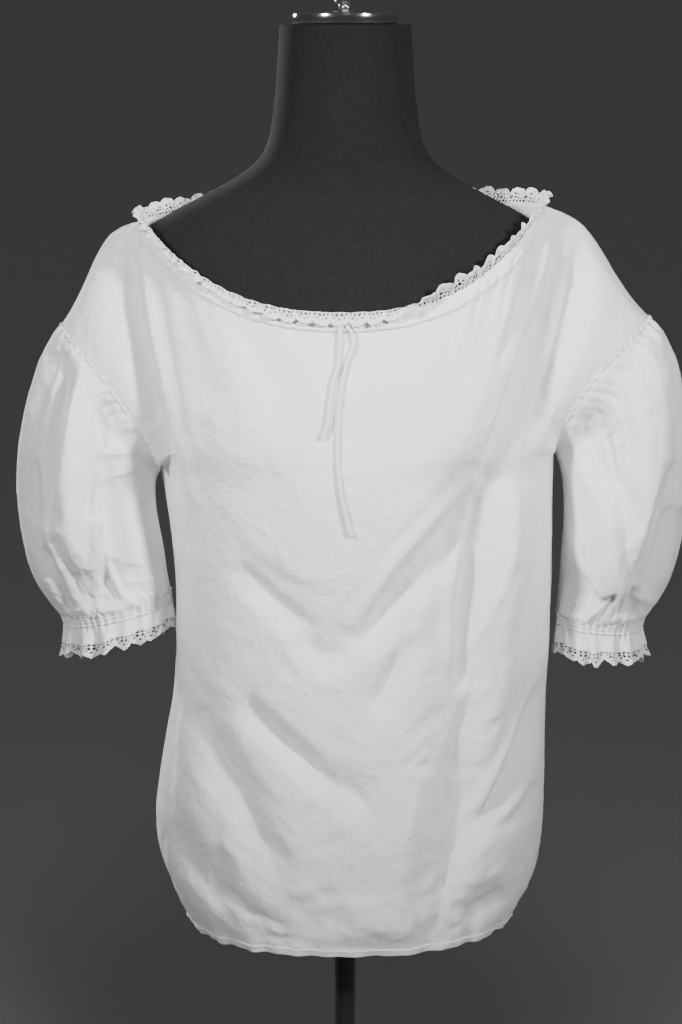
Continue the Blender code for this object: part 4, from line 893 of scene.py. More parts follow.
def puckers(net, face):
    """Gathers that run down from the drawstring casing, uneven in length and depth."""
    dice = np.random.RandomState(PUCKER_SEEDS[face])
    along, below = neck_places(net)
    first, last = along[0, NECK_FIRST], along[0, NECK_LAST]
    total = np.zeros(along.shape)
    place = first + PUCKER_END_ROOM
    while place < last - PUCKER_END_ROOM:
        share = place / last
        strong = 1.0
        if face < 0:
            strong += PUCKER_LEFT_GAIN * smooth((share - PUCKER_LEFT_FROM) / PUCKER_LEFT_FADE)
            strong -= PUCKER_RIGHT_LOSS * smooth(-share / PUCKER_RIGHT_FADE)
        length = dice.uniform(*PUCKER_LENGTH) * strong
        depth = dice.uniform(*PUCKER_DEPTH) * strong
        drift = dice.uniform(-PUCKER_DRIFT, PUCKER_DRIFT)
        width = PUCKER_WIDTH + PUCKER_SPREAD * below
        across = np.clip(1 - np.abs(along - place - drift * below) / (2 * width), 0, 1)
        full = smooth((below - PUCKER_FULL_BELOW) / PUCKER_FULL_BELOW)
        fall = np.clip(1 - below / length, 0, 1) ** PUCKER_FALL
        fall = fall * (PUCKER_AT_EDGE + (1 - PUCKER_AT_EDGE) * full)
        total -= depth * across ** PUCKER_SHARPNESS * fall
        place += dice.uniform(*PUCKER_SPACING)
    drift = NECK_RIPPLE_DRIFT * np.sin(along / NECK_RIPPLE_DRIFT_LENGTH)
    ripple = np.sin(TAU * along / NECK_RIPPLE_LENGTH + drift)
    return total + NECK_RIPPLE * ripple * (1 - smooth((below - NECK_RIPPLE_BELOW) / NECK_RIPPLE_FADE))


@lru_cache(maxsize=None)
def panel_surface(face):
    """The folded panel and its directions out, in millimetres."""
    net = finer(finer(panel_net(face), 0, ROW_STEPS), 1, COLUMN_STEPS)
    out = outward(net, False, beside_axis(net))
    row = np.arange(net.shape[0])[:, None] / ROW_STEPS
    column = np.arange(net.shape[1])[None, :] / COLUMN_STEPS
    from_side = np.minimum(column, PANEL_COLUMNS - column)
    side_hold = smooth(from_side / SIDE_HOLD_COLUMNS)
    edge_hold = smooth(from_side / EDGE_HOLD_COLUMNS)
    crease_hold = smooth(from_side / CREASE_HOLD_COLUMNS)
    in_neck = smooth(from_side - SHOULDER_COLUMNS)
    top_hold = smooth((SKIRT_ROWS + YOKE_ROWS - row) / TOP_HOLD_ROWS)
    x, z = net[..., 0], net[..., 2]
    large, sharp, small = ((FRONT_FOLDS, FRONT_CREASES, FRONT_WRINKLES) if face < 0
                           else (BACK_FOLDS, BACK_CREASES, BACK_WRINKLES))
    depth = fold_depth(x, z, [Fold(*f) for f in large.values()], FOLD_END_SHARE) * side_hold * top_hold
    creases = fold_depth(x, z, [Fold(*f) for f in sharp.values()], CREASE_END_SHARE, CREASE_SHARPNESS)
    creases *= CREASE_SCALE
    creases += fold_depth(x, z, wrinkles(small, WRINKLE_SEED + face), 0, CREASE_SHARPNESS)
    depth += creases * crease_hold * top_hold
    depth += puckers(net, face) * in_neck
    low = LOW_CRUMPLE_LEAST + LOW_CRUMPLE_GAIN * (1 - smooth((z - LOW_CRUMPLE_FROM) / LOW_CRUMPLE_FADE))
    ridges = sum(crumple(net, kind, face) for kind in PANEL_RIDGES)
    crumpled = crumple(net, PANEL_WAVES, face) + low * ridges
    depth += crumpled * edge_hold * (CRUMPLE_AT_NECK + (1 - CRUMPLE_AT_NECK) * top_hold)
    hem_wave = (HEM_WAVE * np.sin(column * HEM_WAVE_PACE + face)
                + HEM_FLUTTER * np.sin(column * HEM_FLUTTER_PACE + HEM_FLUTTER_START))
    depth += hem_wave * edge_hold * (1 - smooth(row / HEM_WAVE_ROWS))
    folded = off_form(net + out * depth[..., None])
    for seam in (folded[:, 0], folded[:, -1], folded[-1, :NECK_FIRST + 1], folded[-1, NECK_LAST:]):
        seam[:, 1] += face * SEAM_HALF
    return folded, outward(folded, False, beside_axis(folded))


# Sleeves and cuffs

def ring_points(table, level, count):
    """A ring of a sleeve's or cuff's rounded tube, closed by its first point."""
    values = dict(zip(SLEEVE_COLUMNS, (spline(column, level) for column in zip(*table.values()))))
    turn = np.arange(count + 1) / count
    share = 0.5 + 0.5 * np.cos(TAU * turn)
    x = values["x_inner"] + (values["x_outer"] - values["x_inner"]) * share
    z = values["z_inner"] + (values["z_outer"] - values["z_inner"]) * share
    reach = np.where(turn < 0.5, values["y_front"], -values["y_back"])
    return np.stack((x, reach * np.sin(TAU * turn), z), axis=1)


def gathers(turn, run):
    """Waves of the gathers, sharp in the stitches and round between them."""
    total = np.zeros(turn.shape)
    beyond = smooth((np.abs(turn - 0.5) - UNDERARM_TURN) / UNDERARM_FADE)
    at_armhole = GATHER_UNDERARM + (1 - GATHER_UNDERARM) * beyond
    for row in GATHERS:
        kind = dict(zip(GATHER_COLUMNS, row))
        count = kind["count"]
        phase = count * turn + GATHER_DRIFT * np.sin(TAU * 3 * turn + count)
        phase += GATHER_BEND * run * np.sin(TAU * 2 * turn + 1)
        wave = np.abs(np.sin(math.pi * phase)) ** GATHER_SHARPNESS - GATHER_LEVEL
        vary = np.sin(TAU * turn * 5 + count) * np.cos(TAU * turn * 2 + 0.5 * count)
        vary = 1 - GATHER_VARIES + GATHER_VARIES * vary
        top = np.clip(1 - run / kind["top_reach"], 0, 1) * at_armhole
        low = np.clip(1 - (1 - run) / kind["low_reach"], 0, 1)
        total += kind["depth"] * wave * vary * (top ** GATHER_FALL + low ** GATHER_FALL)
    from_armhole = GATHER_AT_ARMHOLE + (1 - GATHER_AT_ARMHOLE) * smooth(run / GATHER_SEAM_RUN)
    from_cuff = GATHER_AT_CUFF + (1 - GATHER_AT_CUFF) * smooth((1 - run) / GATHER_SEAM_RUN)
    return total * from_armhole * from_cuff


def laid_out(folds):
    """A sleeve's large folds as lines on its cloth laid flat, in millimetres."""
    made = []
    for fold in (SleeveFold(*row) for row in folds.values()):
        start = (fold.turn0 * SLEEVE_TURN_LENGTH, fold.run0 * SLEEVE_RUN_LENGTH)
        end = (fold.turn1 * SLEEVE_TURN_LENGTH, fold.run1 * SLEEVE_RUN_LENGTH)
        middle = ((start[0] + end[0]) / 2, (start[1] + end[1]) / 2)
        made.append(Fold(*start, *middle, *end, fold.half_width, fold.depth))
    return made


@lru_cache(maxsize=None)
def sleeve_surface(side):
    """A puff sleeve, gathered into the armhole and into the cuff's casing."""
    if side > 0:
        table, large = SLEEVE_LEFT, SLEEVE_LEFT_FOLDS
        front, back = SLEEVE_LEFT_FRONT_CREASES, SLEEVE_LEFT_BACK_CREASES
    else:
        table, large = SLEEVE_RIGHT, SLEEVE_RIGHT_FOLDS
        front, back = SLEEVE_RIGHT_FRONT_CREASES, SLEEVE_RIGHT_BACK_CREASES
    count = SLEEVE_COLUMN_COUNT
    net = np.array([ring_points(table, run, count) for run in SLEEVE_ROWS])[:, :-1]
    net[0] = [armhole_point(side, j / count) for j in range(count)]
    toward = net[1] - net[0]
    net[0] -= toward / np.linalg.norm(toward, axis=1, keepdims=True) * SLEEVE_TUCK
    net = finer(finer(net, 0, SLEEVE_ROW_STEPS), 1, SLEEVE_COLUMN_STEPS, closed=True)
    middle = ring_middles(net)
    out = outward(net, True, middle)
    runs = np.interp(np.arange(net.shape[0]) / SLEEVE_ROW_STEPS, range(len(SLEEVE_ROWS)), SLEEVE_ROWS)
    run = np.broadcast_to(runs[:, None], net.shape[:2])
    turn = np.broadcast_to(np.linspace(0, 1, net.shape[1])[None, :], net.shape[:2])
    free = BODY_SIDE_HOLD + (1 - BODY_SIDE_HOLD) * smooth(np.abs(turn - 0.5) / BODY_SIDE_TURN)
    hold = smooth(run / SLEEVE_TOP_HOLD) * smooth((1 - run) / SLEEVE_LOW_HOLD)
    depth = fold_depth(turn * SLEEVE_TURN_LENGTH, run * SLEEVE_RUN_LENGTH, laid_out(large),
                       SLEEVE_FOLD_END_SHARE)
    for sharp, facing in ((front, 1), (back, -1)):
        seen = smooth(facing * np.sin(TAU * turn) / SLEEVE_FACE_SHARE)
        creases = [Fold(*fold) for fold in sharp.values()]
        creased = fold_depth(net[..., 0], net[..., 2], creases, CREASE_END_SHARE, CREASE_SHARPNESS)
        depth += creased * seen * SLEEVE_CREASE_SCALE
    depth = depth * hold + gathers(turn, run)
    crumpled = sum(crumple(net, kind, side) for kind in SLEEVE_RIDGES)
    depth += crumpled * (CRUMPLE_AT_SEAMS + (1 - CRUMPLE_AT_SEAMS) * hold)
    depth[:, -1] = depth[:, 0]
    folded = net + out * (depth * free)[..., None]
    return folded, outward(folded, True, middle)


@lru_cache(maxsize=None)
def cuff_surfaces(side):
    """The cuff's puckered casing and the waved frill below it."""
    table = CUFF_LEFT if side > 0 else CUFF_RIGHT
    turn = np.linspace(0, 1, CUFF_COLUMNS + 1)
    base = -CUFF_WAVE * np.cos(TAU * FRILL_WAVES * turn)
    vary = 1 - CUFF_VARIES + CUFF_VARIES * np.sin(TAU * 7 * turn + side)
    fine = np.sin(TAU * CASING_RIPPLES * turn + CUFF_RIPPLE_DRIFT * np.sin(TAU * 5 * turn))
    fine = CASING_RIPPLE * fine * vary
    made = []
    for part, rows in enumerate((CASING_ROWS, FRILL_ROWS)):
        net = np.array([ring_points(table, (part + i / (rows - 1)) / 3, CUFF_COLUMNS) for i in range(rows)])
        net[0, :, 2] -= CUFF_TOP_TUCK
        middle = ring_middles(net)
        out = outward(net, True, middle)
        share = np.linspace(0, 1, rows)[:, None]
        if part == 0:
            depth = base + fine + np.zeros_like(share)
            for level in SHIRRING_ROWS:
                depth = depth - SHIRRING_DEPTH * np.exp(-((share - level) / SHIRRING_WIDTH) ** 2)
        else:
            wave = np.cos(TAU * FRILL_WAVES * turn + FRILL_DRIFT * np.sin(TAU * 3 * turn))
            wave = FRILL_RIPPLE * wave * (FRILL_WAVE_LEAST + (1 - FRILL_WAVE_LEAST) * vary)
            flutter = FRILL_FLUTTER * np.sin(TAU * FRILL_FLUTTERS * turn)
            depth = (base * (1 - share) + fine * (1 - share) ** 2 - wave * share ** FRILL_SPREAD
                     + flutter * share * (1 - share))
            edge = np.sin(TAU * 5 * turn + side) + FRILL_EDGE_FLUTTER * np.sin(TAU * 13 * turn)
            net[..., 2] += share * edge
        depth[:, -1] = depth[:, 0]
        folded = net + out * depth[..., None]
        made.append((folded, outward(folded, True, middle)))
    return made


# Edging

def resampled(line, places):
    index = np.arange(len(line))
    return np.stack([np.interp(places, index, line[:, axis]) for axis in range(3)], axis=1)


def edging_surface(edge, below, edge_out, scallops, leans, height, tuck, layer, pointed):
    """Scalloped edging along an edge of cloth: it leans, and rolls over where it leans far."""
    lengths = lengths_along(edge)
    columns = scallops * LACE_STEPS
    places = np.interp(np.linspace(0, lengths[-1], columns + 1), lengths, np.arange(len(edge)))
    base = resampled(edge, places)
    up = unit(base - resampled(below, places))
    out = resampled(edge_out, places)
    out = unit(out - up * np.sum(out * up, axis=1, keepdims=True))
    unit_place = np.linspace(0, scallops, columns + 1)
    within = unit_place % 1.0
    if pointed:
        foot, roundness = CUFF_SCALLOP
        tip = 1 - np.abs(2 * within - 1)
    else:
        foot, roundness = NECK_SCALLOP
        tip = np.abs(np.sin(math.pi * within))
    shape = foot + (1 - foot) * tip ** roundness
    shape = shape * (1 + sum(share * np.sin(unit_place * pace) for share, pace in SCALLOPS_VARY))
    lean = np.interp(np.linspace(-1, 1, columns + 1), *zip(*leans))
    over = smooth(lean / LACE_LEAN_OVER)
    point = base + up * (LACE_FOOT + LACE_OVER_RISE * over)[:, None] + out * layer
    rows = [base - up * tuck + out * layer, point]
    steps = LACE_ROWS - 2
    for i in range(steps):
        share = (i + 0.5) / steps
        leaning = LACE_LEAN_START + LACE_LEAN_GAIN * smooth(share / LACE_LEAN_FULL_AT)
        angle = np.radians(np.minimum(lean * leaning, LACE_LEAN_MOST))
        angle = angle + LACE_SWAY * np.sin(unit_place * LACE_SWAY_PACE) * share
        step = height * shape / steps
        point = point + (up * np.cos(angle)[:, None] + out * np.sin(angle)[:, None]) * step[:, None]
        rows.append(point)
    net = np.array(rows)
    normal = unit(np.cross(np.gradient(net, axis=1), np.gradient(net, axis=0)))
    ripple = LACE_RIPPLE * np.sin(TAU * unit_place)[None, :] * np.linspace(0, 1, LACE_ROWS)[:, None]
    return net + normal * ripple[..., None]


def lace_hole(scallops):
    """A test that tells whether a place on an edging, given from 0 to 1 each way, is in a hole."""
    def in_hole(across, up):
        within = (across * scallops) % 1.0
        return any(((within - x) / half_x) ** 2 + ((up - y) / half_y) ** 2 < 1
                   for x, y, half_x, half_y in LACE_HOLES)
    return in_hole


# Meshes

def new_object(name, data, finish):
    made = bpy.data.objects.new(name, data)
    made.data.materials.append(finish)
    bpy.context.scene.collection.objects.link(made)
    return made


def finished_mesh(name, shape):
    """The mesh of a shape that is done, and that is let go."""
    mesh = bpy.data.meshes.new(name)
    shape.to_mesh(mesh)
    shape.free()
    return mesh


def on_axis(point):
    return Vector((0, 0, point.z))


def flat_grid(net, map_name, map_width, map_height):
    """A flat grid with a corner for each point of a net, and a map of the given size."""
    shape = bmesh.new()
    layer = shape.loops.layers.uv.new(map_name)
    bmesh.ops.create_grid(shape, x_segments=net.shape[1] - 1, y_segments=net.shape[0] - 1, size=0.5,
                          calc_uvs=True)
    for face in shape.faces:
        for loop in face.loops:
            place = loop.vert.co
            loop[layer].uv = ((place.x + 0.5) * map_width, (place.y + 0.5) * map_height)
    return shape


def lay_on_net(shape, net, closed):
    """Move a flat grid's corners to the points of a net in millimetres."""
    rows, columns = net.shape[0] - 1, net.shape[1] - 1
    for vert in shape.verts:
        vert.co = Vector(net[round((vert.co.y + 0.5) * rows), round((vert.co.x + 0.5) * columns)]) * MM
    if closed:
        bmesh.ops.remove_doubles(shape, verts=shape.verts, dist=HAIR)


def cloth_shape(net, inside, closed=False, hole=None):
    """Cloth through a net of points, with its map in metres, facing away from a point inside it."""
    middle_row, middle_column = ((count - 1) // 2 for count in net.shape[:2])
    width = lengths_along(net[middle_row])[-1] * MM
    height = lengths_along(net[:, middle_column])[-1] * MM
    shape = flat_grid(net, "cloth", width, height)
    if hole:
        middles = [(face, face.calc_center_median()) for face in shape.faces]
        cut = [face for face, place in middles if hole(place.x + 0.5, place.y + 0.5)]
        bmesh.ops.delete(shape, geom=cut, context="FACES")
    lay_on_net(shape, net, closed)
    shape.normal_update()
    facing = sum(face.normal.dot(face.calc_center_median() - inside(face.calc_center_median()))
                 for face in list(shape.faces)[::FACING_STEP])
    if facing < 0:
        bmesh.ops.reverse_faces(shape, faces=shape.faces)
    return shape


def cloth_piece(name, net, finish, inside, wall, closed=False, hole=None):
    """A thin shell of cloth through a net of points in millimetres."""
    mesh = finished_mesh(name, cloth_shape(net, inside, closed, hole))
    mesh.shade_smooth()
    piece = new_object(name, mesh, finish)
    thick = piece.modifiers.new("cloth thickness", "SOLIDIFY")
    thick.thickness = wall
    thick.offset = -1
    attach(piece, "root")
    return piece


def tube_piece(name, net, finish, map_width=1.0, map_height=1.0):
    """A closed tube through a net of points in millimetres."""
    shape = flat_grid(net, "cord", map_width, map_height)
    lay_on_net(shape, net, True)
    bmesh.ops.recalc_face_normals(shape, faces=shape.faces)
    mesh = finished_mesh(name, shape)
    mesh.shade_smooth()
    piece = new_object(name, mesh, finish)
    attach(piece, "root")
    return piece


def cord_piece(name, path, radius, finish):
    """A twisted cord along a path in millimetres, closed at both ends."""
    tangent = unit(np.gradient(path, axis=0))
    side = unit(np.cross(tangent, np.array((1.0, 0.0, 0.0))))
    other = np.cross(tangent, side)
    lengths = lengths_along(path)
    angle = np.linspace(0, TAU, STRING_SIDES + 1)[None, :]
    twist = TAU * lengths[:, None] / STRING_TURN_LENGTH
    strand = 1 - STRING_GROOVE + STRING_GROOVE * np.abs(np.cos(0.5 * STRING_STRANDS * (angle - twist)))
    ends = np.minimum(lengths, lengths[-1] - lengths) / STRING_END_LENGTH
    taper = np.sqrt(np.clip(1 - (1 - np.clip(ends, 0, 1)) ** 2, 0, 1))[:, None]
    around = radius * strand * taper
    net = path[:, None, :] + around[..., None] * (side[:, None, :] * np.cos(angle)[..., None]
                                                  + other[:, None, :] * np.sin(angle)[..., None])
    return tube_piece(name, net, finish, TAU * radius * MM, lengths[-1] * MM)


def seam_bead(side):
    """The armhole's seam: a narrow ridge, drawn up by the gathers, as a closed tube."""
    turn = np.linspace(0, 1, SEAM_BEAD_POINTS + 1)
    line = np.array([armhole_point(side, t % 1.0) for t in turn])
    middle = line[:-1].mean(axis=0)
    tangent = unit(np.roll(line[:-1], -1, 0) - np.roll(line[:-1], 1, 0))
    tangent = np.concatenate((tangent, tangent[:1]))
    out = unit(line - middle)
    out = unit(out - tangent * np.sum(out * tangent, axis=1, keepdims=True))
    across = np.cross(tangent, out)
    waves = np.sin(TAU * SEAM_PUCKERS * turn + SEAM_PUCKER_DRIFT * np.sin(TAU * 7 * turn))
    deep = 1 - SEAM_SHOULDER_GAIN + SEAM_SHOULDER_GAIN * np.cos(TAU * turn)
    radius = (SEAM_BEAD * (1 + SEAM_PUCKER * waves * deep))[:, None, None]
    angle = np.linspace(0, TAU, SEAM_SIDES + 1)[None, :, None]
    return line[:, None] + radius * (out[:, None] * np.cos(angle) + across[:, None] * np.sin(angle))


def spun_piece(name, profile, finish):
    """A piece turned round the form's axis from its profile in millimetres, top to bottom."""
    shape = bmesh.new()
    corners = [shape.verts.new((radius * MM, 0, z * MM)) for radius, z in profile]
    for a, b in zip(corners, corners[1:]):
        shape.edges.new((a, b))
    bmesh.ops.spin(shape, geom=shape.verts[:] + shape.edges[:], axis=(0, 0, 1), cent=(0, 0, 0),
                   angle=TAU, steps=ROUND_SIDES, use_merge=True)
    bmesh.ops.remove_doubles(shape, verts=shape.verts, dist=HAIR)
    bmesh.ops.recalc_face_normals(shape, faces=shape.faces)
    mesh = finished_mesh(name, shape)
    mesh.shade_smooth()
    mesh.set_sharp_from_angle(angle=math.radians(TURNED_SHARP))
    piece = new_object(name, mesh, finish)
    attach(piece, "root")
    return piece


def stitch_line(name, line, out, pitch, finish):
    """A line of small stitches that lie on the cloth, along a line in millimetres."""
    lengths = lengths_along(line)
    data = bpy.data.curves.new(name, "CURVE")
    data.dimensions = "3D"
    data.bevel_depth = STITCH_RADIUS * MM
    data.bevel_resolution = 0
    data.use_fill_caps = True
    lift = np.array(STITCH_LIFT)[:, None]
    for start in np.arange(STITCH_START, lengths[-1] - pitch, pitch):
        spots = np.interp(start + np.array(STITCH_SPOTS) * pitch, lengths, np.arange(len(line)))
        points = resampled(line, spots) + resampled(out, spots) * lift
        stitch = data.splines.new("POLY")
        stitch.points.add(len(points) - 1)
        for slot, point in zip(stitch.points, points):
            slot.co = (*(point * MM), 1.0)
    piece = new_object(name, data, finish)
    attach(piece, "root")
    return piece


# Materials

def tinted(color, share):
    return [share * c for c in color]


class Nodes:
    """Short ways to add and join nodes of one material."""

    def __init__(self, name):
        self.material = bpy.data.materials.new(name)
        self.material.use_nodes = True
        self.tree = self.material.node_tree
        self.shader = self.tree.nodes["Principled BSDF"]

    def add(self, kind, **values):
        made = self.tree.nodes.new(kind)
        for key, value in values.items():
            if key in made.inputs:
                made.inputs[key].default_value = value
            else:
                setattr(made, key, value)
        return made

    def join(self, start, end):
        self.tree.links.new(start, end)

    def math(self, operation, a, b=0.0):
        made = self.add("ShaderNodeMath", operation=operation)
        for slot, value in enumerate((a, b)):
            if isinstance(value, (int, float)):
                made.inputs[slot].default_value = value
            else:
                self.join(value, made.inputs[slot])
        return made.outputs[0]

    def places(self, kind):
        """Places on the piece: Object for the room that it fills, UV for its own map."""
        return self.add("ShaderNodeTexCoord").outputs[kind]

    def stretched(self, place, scale, turn=0.0):
        """Places scaled each way and turned in the map, for a pattern that is drawn out."""
        made = self.add("ShaderNodeMapping", Scale=scale, Rotation=(0, 0, turn))
        self.join(place, made.inputs["Vector"])
        return made.outputs[0]

    def noise(self, place, scale=1.0, detail=2.0, **values):
        """Uneven values from about 0 to 1 that vary from place to place."""
        made = self.add("ShaderNodeTexNoise", Scale=scale, Detail=detail, **values)
        self.join(place, made.inputs["Vector"])
        return made.outputs["Fac"]

    def shades(self, share, dark, light, ends=(0.0, 1.0)):
        """Colour the surface from dark to light, between the two ends of a share."""
        ramp = self.add("ShaderNodeValToRGB")
        for element, place, color in zip(ramp.color_ramp.elements, ends, (dark, light)):
            element.position = place
            element.color = (*color, 1)
        self.join(share, ramp.inputs["Fac"])
        self.join(ramp.outputs["Color"], self.shader.inputs["Base Color"])

    def relief(self, height, strength, distance, under=None):
        """Roughen the surface by a height, over another relief where one is given."""
        bump = self.add("ShaderNodeBump", Strength=strength, Distance=distance)
        self.join(height, bump.inputs["Height"])
        if under:
            self.join(under, bump.inputs["Normal"])
        self.join(bump.outputs["Normal"], self.shader.inputs["Normal"])
        return bump.outputs["Normal"]

    def surface(self, roughness, sheen=0.0, specular=0.5):
        """Set how matt the surface is, its soft sheen and its gloss."""
        values = {"Roughness": roughness, "Sheen Weight": sheen, "Specular IOR Level": specular}
        for key, value in values.items():
            self.shader.inputs[key].default_value = value


def weave_height(nodes, place, pitch):
    """Height of a plain weave on the cloth's own map, which is in metres."""
    parts = nodes.add("ShaderNodeSeparateXYZ")
    nodes.join(place, parts.inputs[0])
    across, down = (nodes.math("SINE", nodes.math("MULTIPLY", parts.outputs[way], TAU / pitch))
                    for way in ("X", "Y"))
    return nodes.math("MULTIPLY", across, down)


def cotton_material(name, color, painted_lightness=1.0):
    """Washed plain-weave cotton: uneven threads, fine crumple and a soft sheen. A share above 1 makes a
    lighter copy of it: painted light.
    """
    nodes = Nodes(name)
    place = nodes.places("UV")
    spot = nodes.places("Object")
    weave = weave_height(nodes, place, COTTON_PITCH)
    threads = nodes.math("ADD", *(nodes.noise(nodes.stretched(place, scale)) for scale in THREAD_SCALES))
    crease = nodes.noise(spot, scale=70.0, detail=5.0, Roughness=0.6)
    cloud = nodes.noise(spot, scale=9.0, detail=3.0)
    pressed = nodes.noise(spot, scale=26.0, detail=4.0, Roughness=0.55, Distortion=0.6)
    shade = nodes.math("ADD", nodes.math("MULTIPLY", threads, THREAD_SHADE),
                       nodes.math("MULTIPLY", cloud, CLOUD_SHADE))
    # Painted light: both ends of the shade are lightened by the share given
    nodes.shades(shade, tinted(color, 0.94 * painted_lightness), tinted(color, painted_lightness), ends=(0.3, 0.7))
    cloth = nodes.math("ADD", nodes.math("MULTIPLY", weave, WEAVE_RELIEF), threads)
    ridge = nodes.math("ABSOLUTE", nodes.math("SUBTRACT", pressed, 0.5))
    washed = nodes.math("SUBTRACT", crease, nodes.math("MULTIPLY", ridge, PRESSED_RELIEF))
    under = nodes.relief(cloth, strength=0.35, distance=0.0006)
    nodes.relief(washed, strength=0.55, distance=0.0030, under=under)
    nodes.surface(roughness=0.88, sheen=0.15, specular=0.25)
    return nodes.material


def crochet_material(name, color):
    """Crocheted thread: rows of small knots that follow the edging, with painted shade in the hollows
    between them.
    """
    nodes = Nodes(name)
    place = nodes.places("UV")
    knots = nodes.add("ShaderNodeTexVoronoi", Scale=620.0)
    nodes.join(place, knots.inputs["Vector"])
    strands = nodes.noise(nodes.stretched(place, (260, 620, 1), turn=0.5))
    height = nodes.math("SUBTRACT", nodes.math("MULTIPLY", strands, 0.6), knots.outputs["Distance"])
    # Painted shade: the colour follows the knots' height, darker between the knots, with uneven tone along
    # the strands
    nodes.shades(nodes.math("ADD", height, 0.5), tinted(color, 0.78), color, ends=(0.0, 0.55))
    nodes.relief(height, strength=0.7, distance=0.0008)
    nodes.surface(roughness=0.9, sheen=0.1, specular=0.25)
    return nodes.material


def cord_material(name, color):
    """Soft twisted cotton cord with loose fibres along its strands."""
    nodes = Nodes(name)
    fibres = nodes.noise(nodes.stretched(nodes.places("UV"), (1400, 500, 1)), detail=3.0)
    nodes.shades(fibres, tinted(color, 0.82), color)
    nodes.relief(fibres, strength=0.6, distance=0.0005)
    nodes.surface(roughness=0.9, sheen=0.2)
    return nodes.material


def jersey_material(name, color):
    """Black jersey drawn tight over the form: fine ribs of its knit and a faint sheen."""
    nodes = Nodes(name)
    weave = weave_height(nodes, nodes.places("UV"), JERSEY_PITCH)
    lint = nodes.noise(nodes.places("Object"), scale=180.0, detail=4.0)
    nodes.shades(lint, tinted(color, 0.7), tinted(color, 1.5))
    knit = nodes.math("ADD", nodes.math("MULTIPLY", weave, JERSEY_RELIEF), lint)
    nodes.relief(knit, strength=0.3, distance=0.0005)
    nodes.surface(roughness=0.9, sheen=0.02, specular=0.12)
    return nodes.material


def metal_material(name, color, roughness, metallic, streaks):
    """Plated or painted steel with faint hand marks in its gloss."""
    nodes = Nodes(name)
    nodes.shader.inputs["Base Color"].default_value = (*color, 1)
    nodes.shader.inputs["Metallic"].default_value = metallic
    smear = nodes.noise(nodes.places("Object"), scale=55.0, detail=4.0)
    gloss = nodes.math("ADD", nodes.math("MULTIPLY", smear, streaks), roughness)
    nodes.join(gloss, nodes.shader.inputs["Roughness"])
    return nodes.material


# Settings that a user would change

class ClothSettings(bpy.types.PropertyGroup):
    cotton: FloatVectorProperty(name="Cotton", description="Colour of the washed cotton", subtype="COLOR",
                                default=(0.80, 0.80, 0.785), min=0, max=1)
    wall: FloatProperty(name="Cloth thickness", description="Thickness of one layer as it is shown",
                        default=0.0009, min=0.0003, max=0.003, unit="LENGTH")
    stitch_pitch: FloatProperty(name="Stitch length", description="Length of one stitch and its gap",
                                default=0.0028, min=0.001, max=0.006, unit="LENGTH")


class EdgingSettings(bpy.types.PropertyGroup):
    thread: FloatVectorProperty(name="Crochet thread", description="Colour of the crocheted edging",
                                subtype="COLOR", default=(0.82, 0.82, 0.80), min=0, max=1)
    neck_height: FloatProperty(name="Neck edging", description="Height of the neck's edging",
                               default=0.0155, min=0.008, max=0.03, unit="LENGTH")
    cuff_height: FloatProperty(name="Cuff edging", description="Height of the cuffs' edging",
                               default=0.0130, min=0.006, max=0.03, unit="LENGTH")
    wall: FloatProperty(name="Edging thickness", description="Thickness of the crochet",
                        default=0.001, min=0.0003, max=0.003, unit="LENGTH")


class StringSettings(bpy.types.PropertyGroup):
    color: FloatVectorProperty(name="Cord", description="Colour of the drawstring", subtype="COLOR",
                               default=(0.82, 0.82, 0.80), min=0, max=1)
    diameter: FloatProperty(name="Cord diameter", description="Diameter of the drawstring",
                            default=0.0034, min=0.002, max=0.006, unit="LENGTH")


class FormSettings(bpy.types.PropertyGroup):
    cover: FloatVectorProperty(name="Cover", description="Colour of the form's jersey cover",
                               subtype="COLOR", default=(0.010, 0.010, 0.011), min=0, max=1)
    chrome: FloatVectorProperty(name="Chrome", description="Colour of the cap and knob", subtype="COLOR",
                                default=(0.78, 0.78, 0.80), min=0, max=1)
    paint: FloatVectorProperty(name="Stand paint", description="Colour of the pole and base",
                               subtype="COLOR", default=(0.03, 0.03, 0.033), min=0, max=1)


class StageSettings(bpy.types.PropertyGroup):
    floor: FloatVectorProperty(name="Floor", description="Colour of the studio floor", subtype="COLOR",
                               default=(0.70, 0.70, 0.71), min=0, max=1)
    key: FloatProperty(name="Key light", description="Power of the main soft light", default=17.0, min=0,
                       unit="POWER")
    side: FloatProperty(name="Side lights", description="Power of each of the two crossing side lights",
                        default=6.2, min=0, unit="POWER")
    back: FloatProperty(name="Back light", description="Power of the soft light behind", default=9.0,
                        min=0, unit="POWER")
    sky: FloatProperty(name="Surroundings", description="Brightness of the surroundings",
                       default=0.07, min=0)
    horizon: FloatProperty(name="Horizon", description="Brightness of the surroundings at the floor's edge",
                           default=0.64, min=0, max=1)
    lens: FloatProperty(name="Lens", description="Focal length of the camera in millimetres", default=86.13,
                        min=10)


# Operators

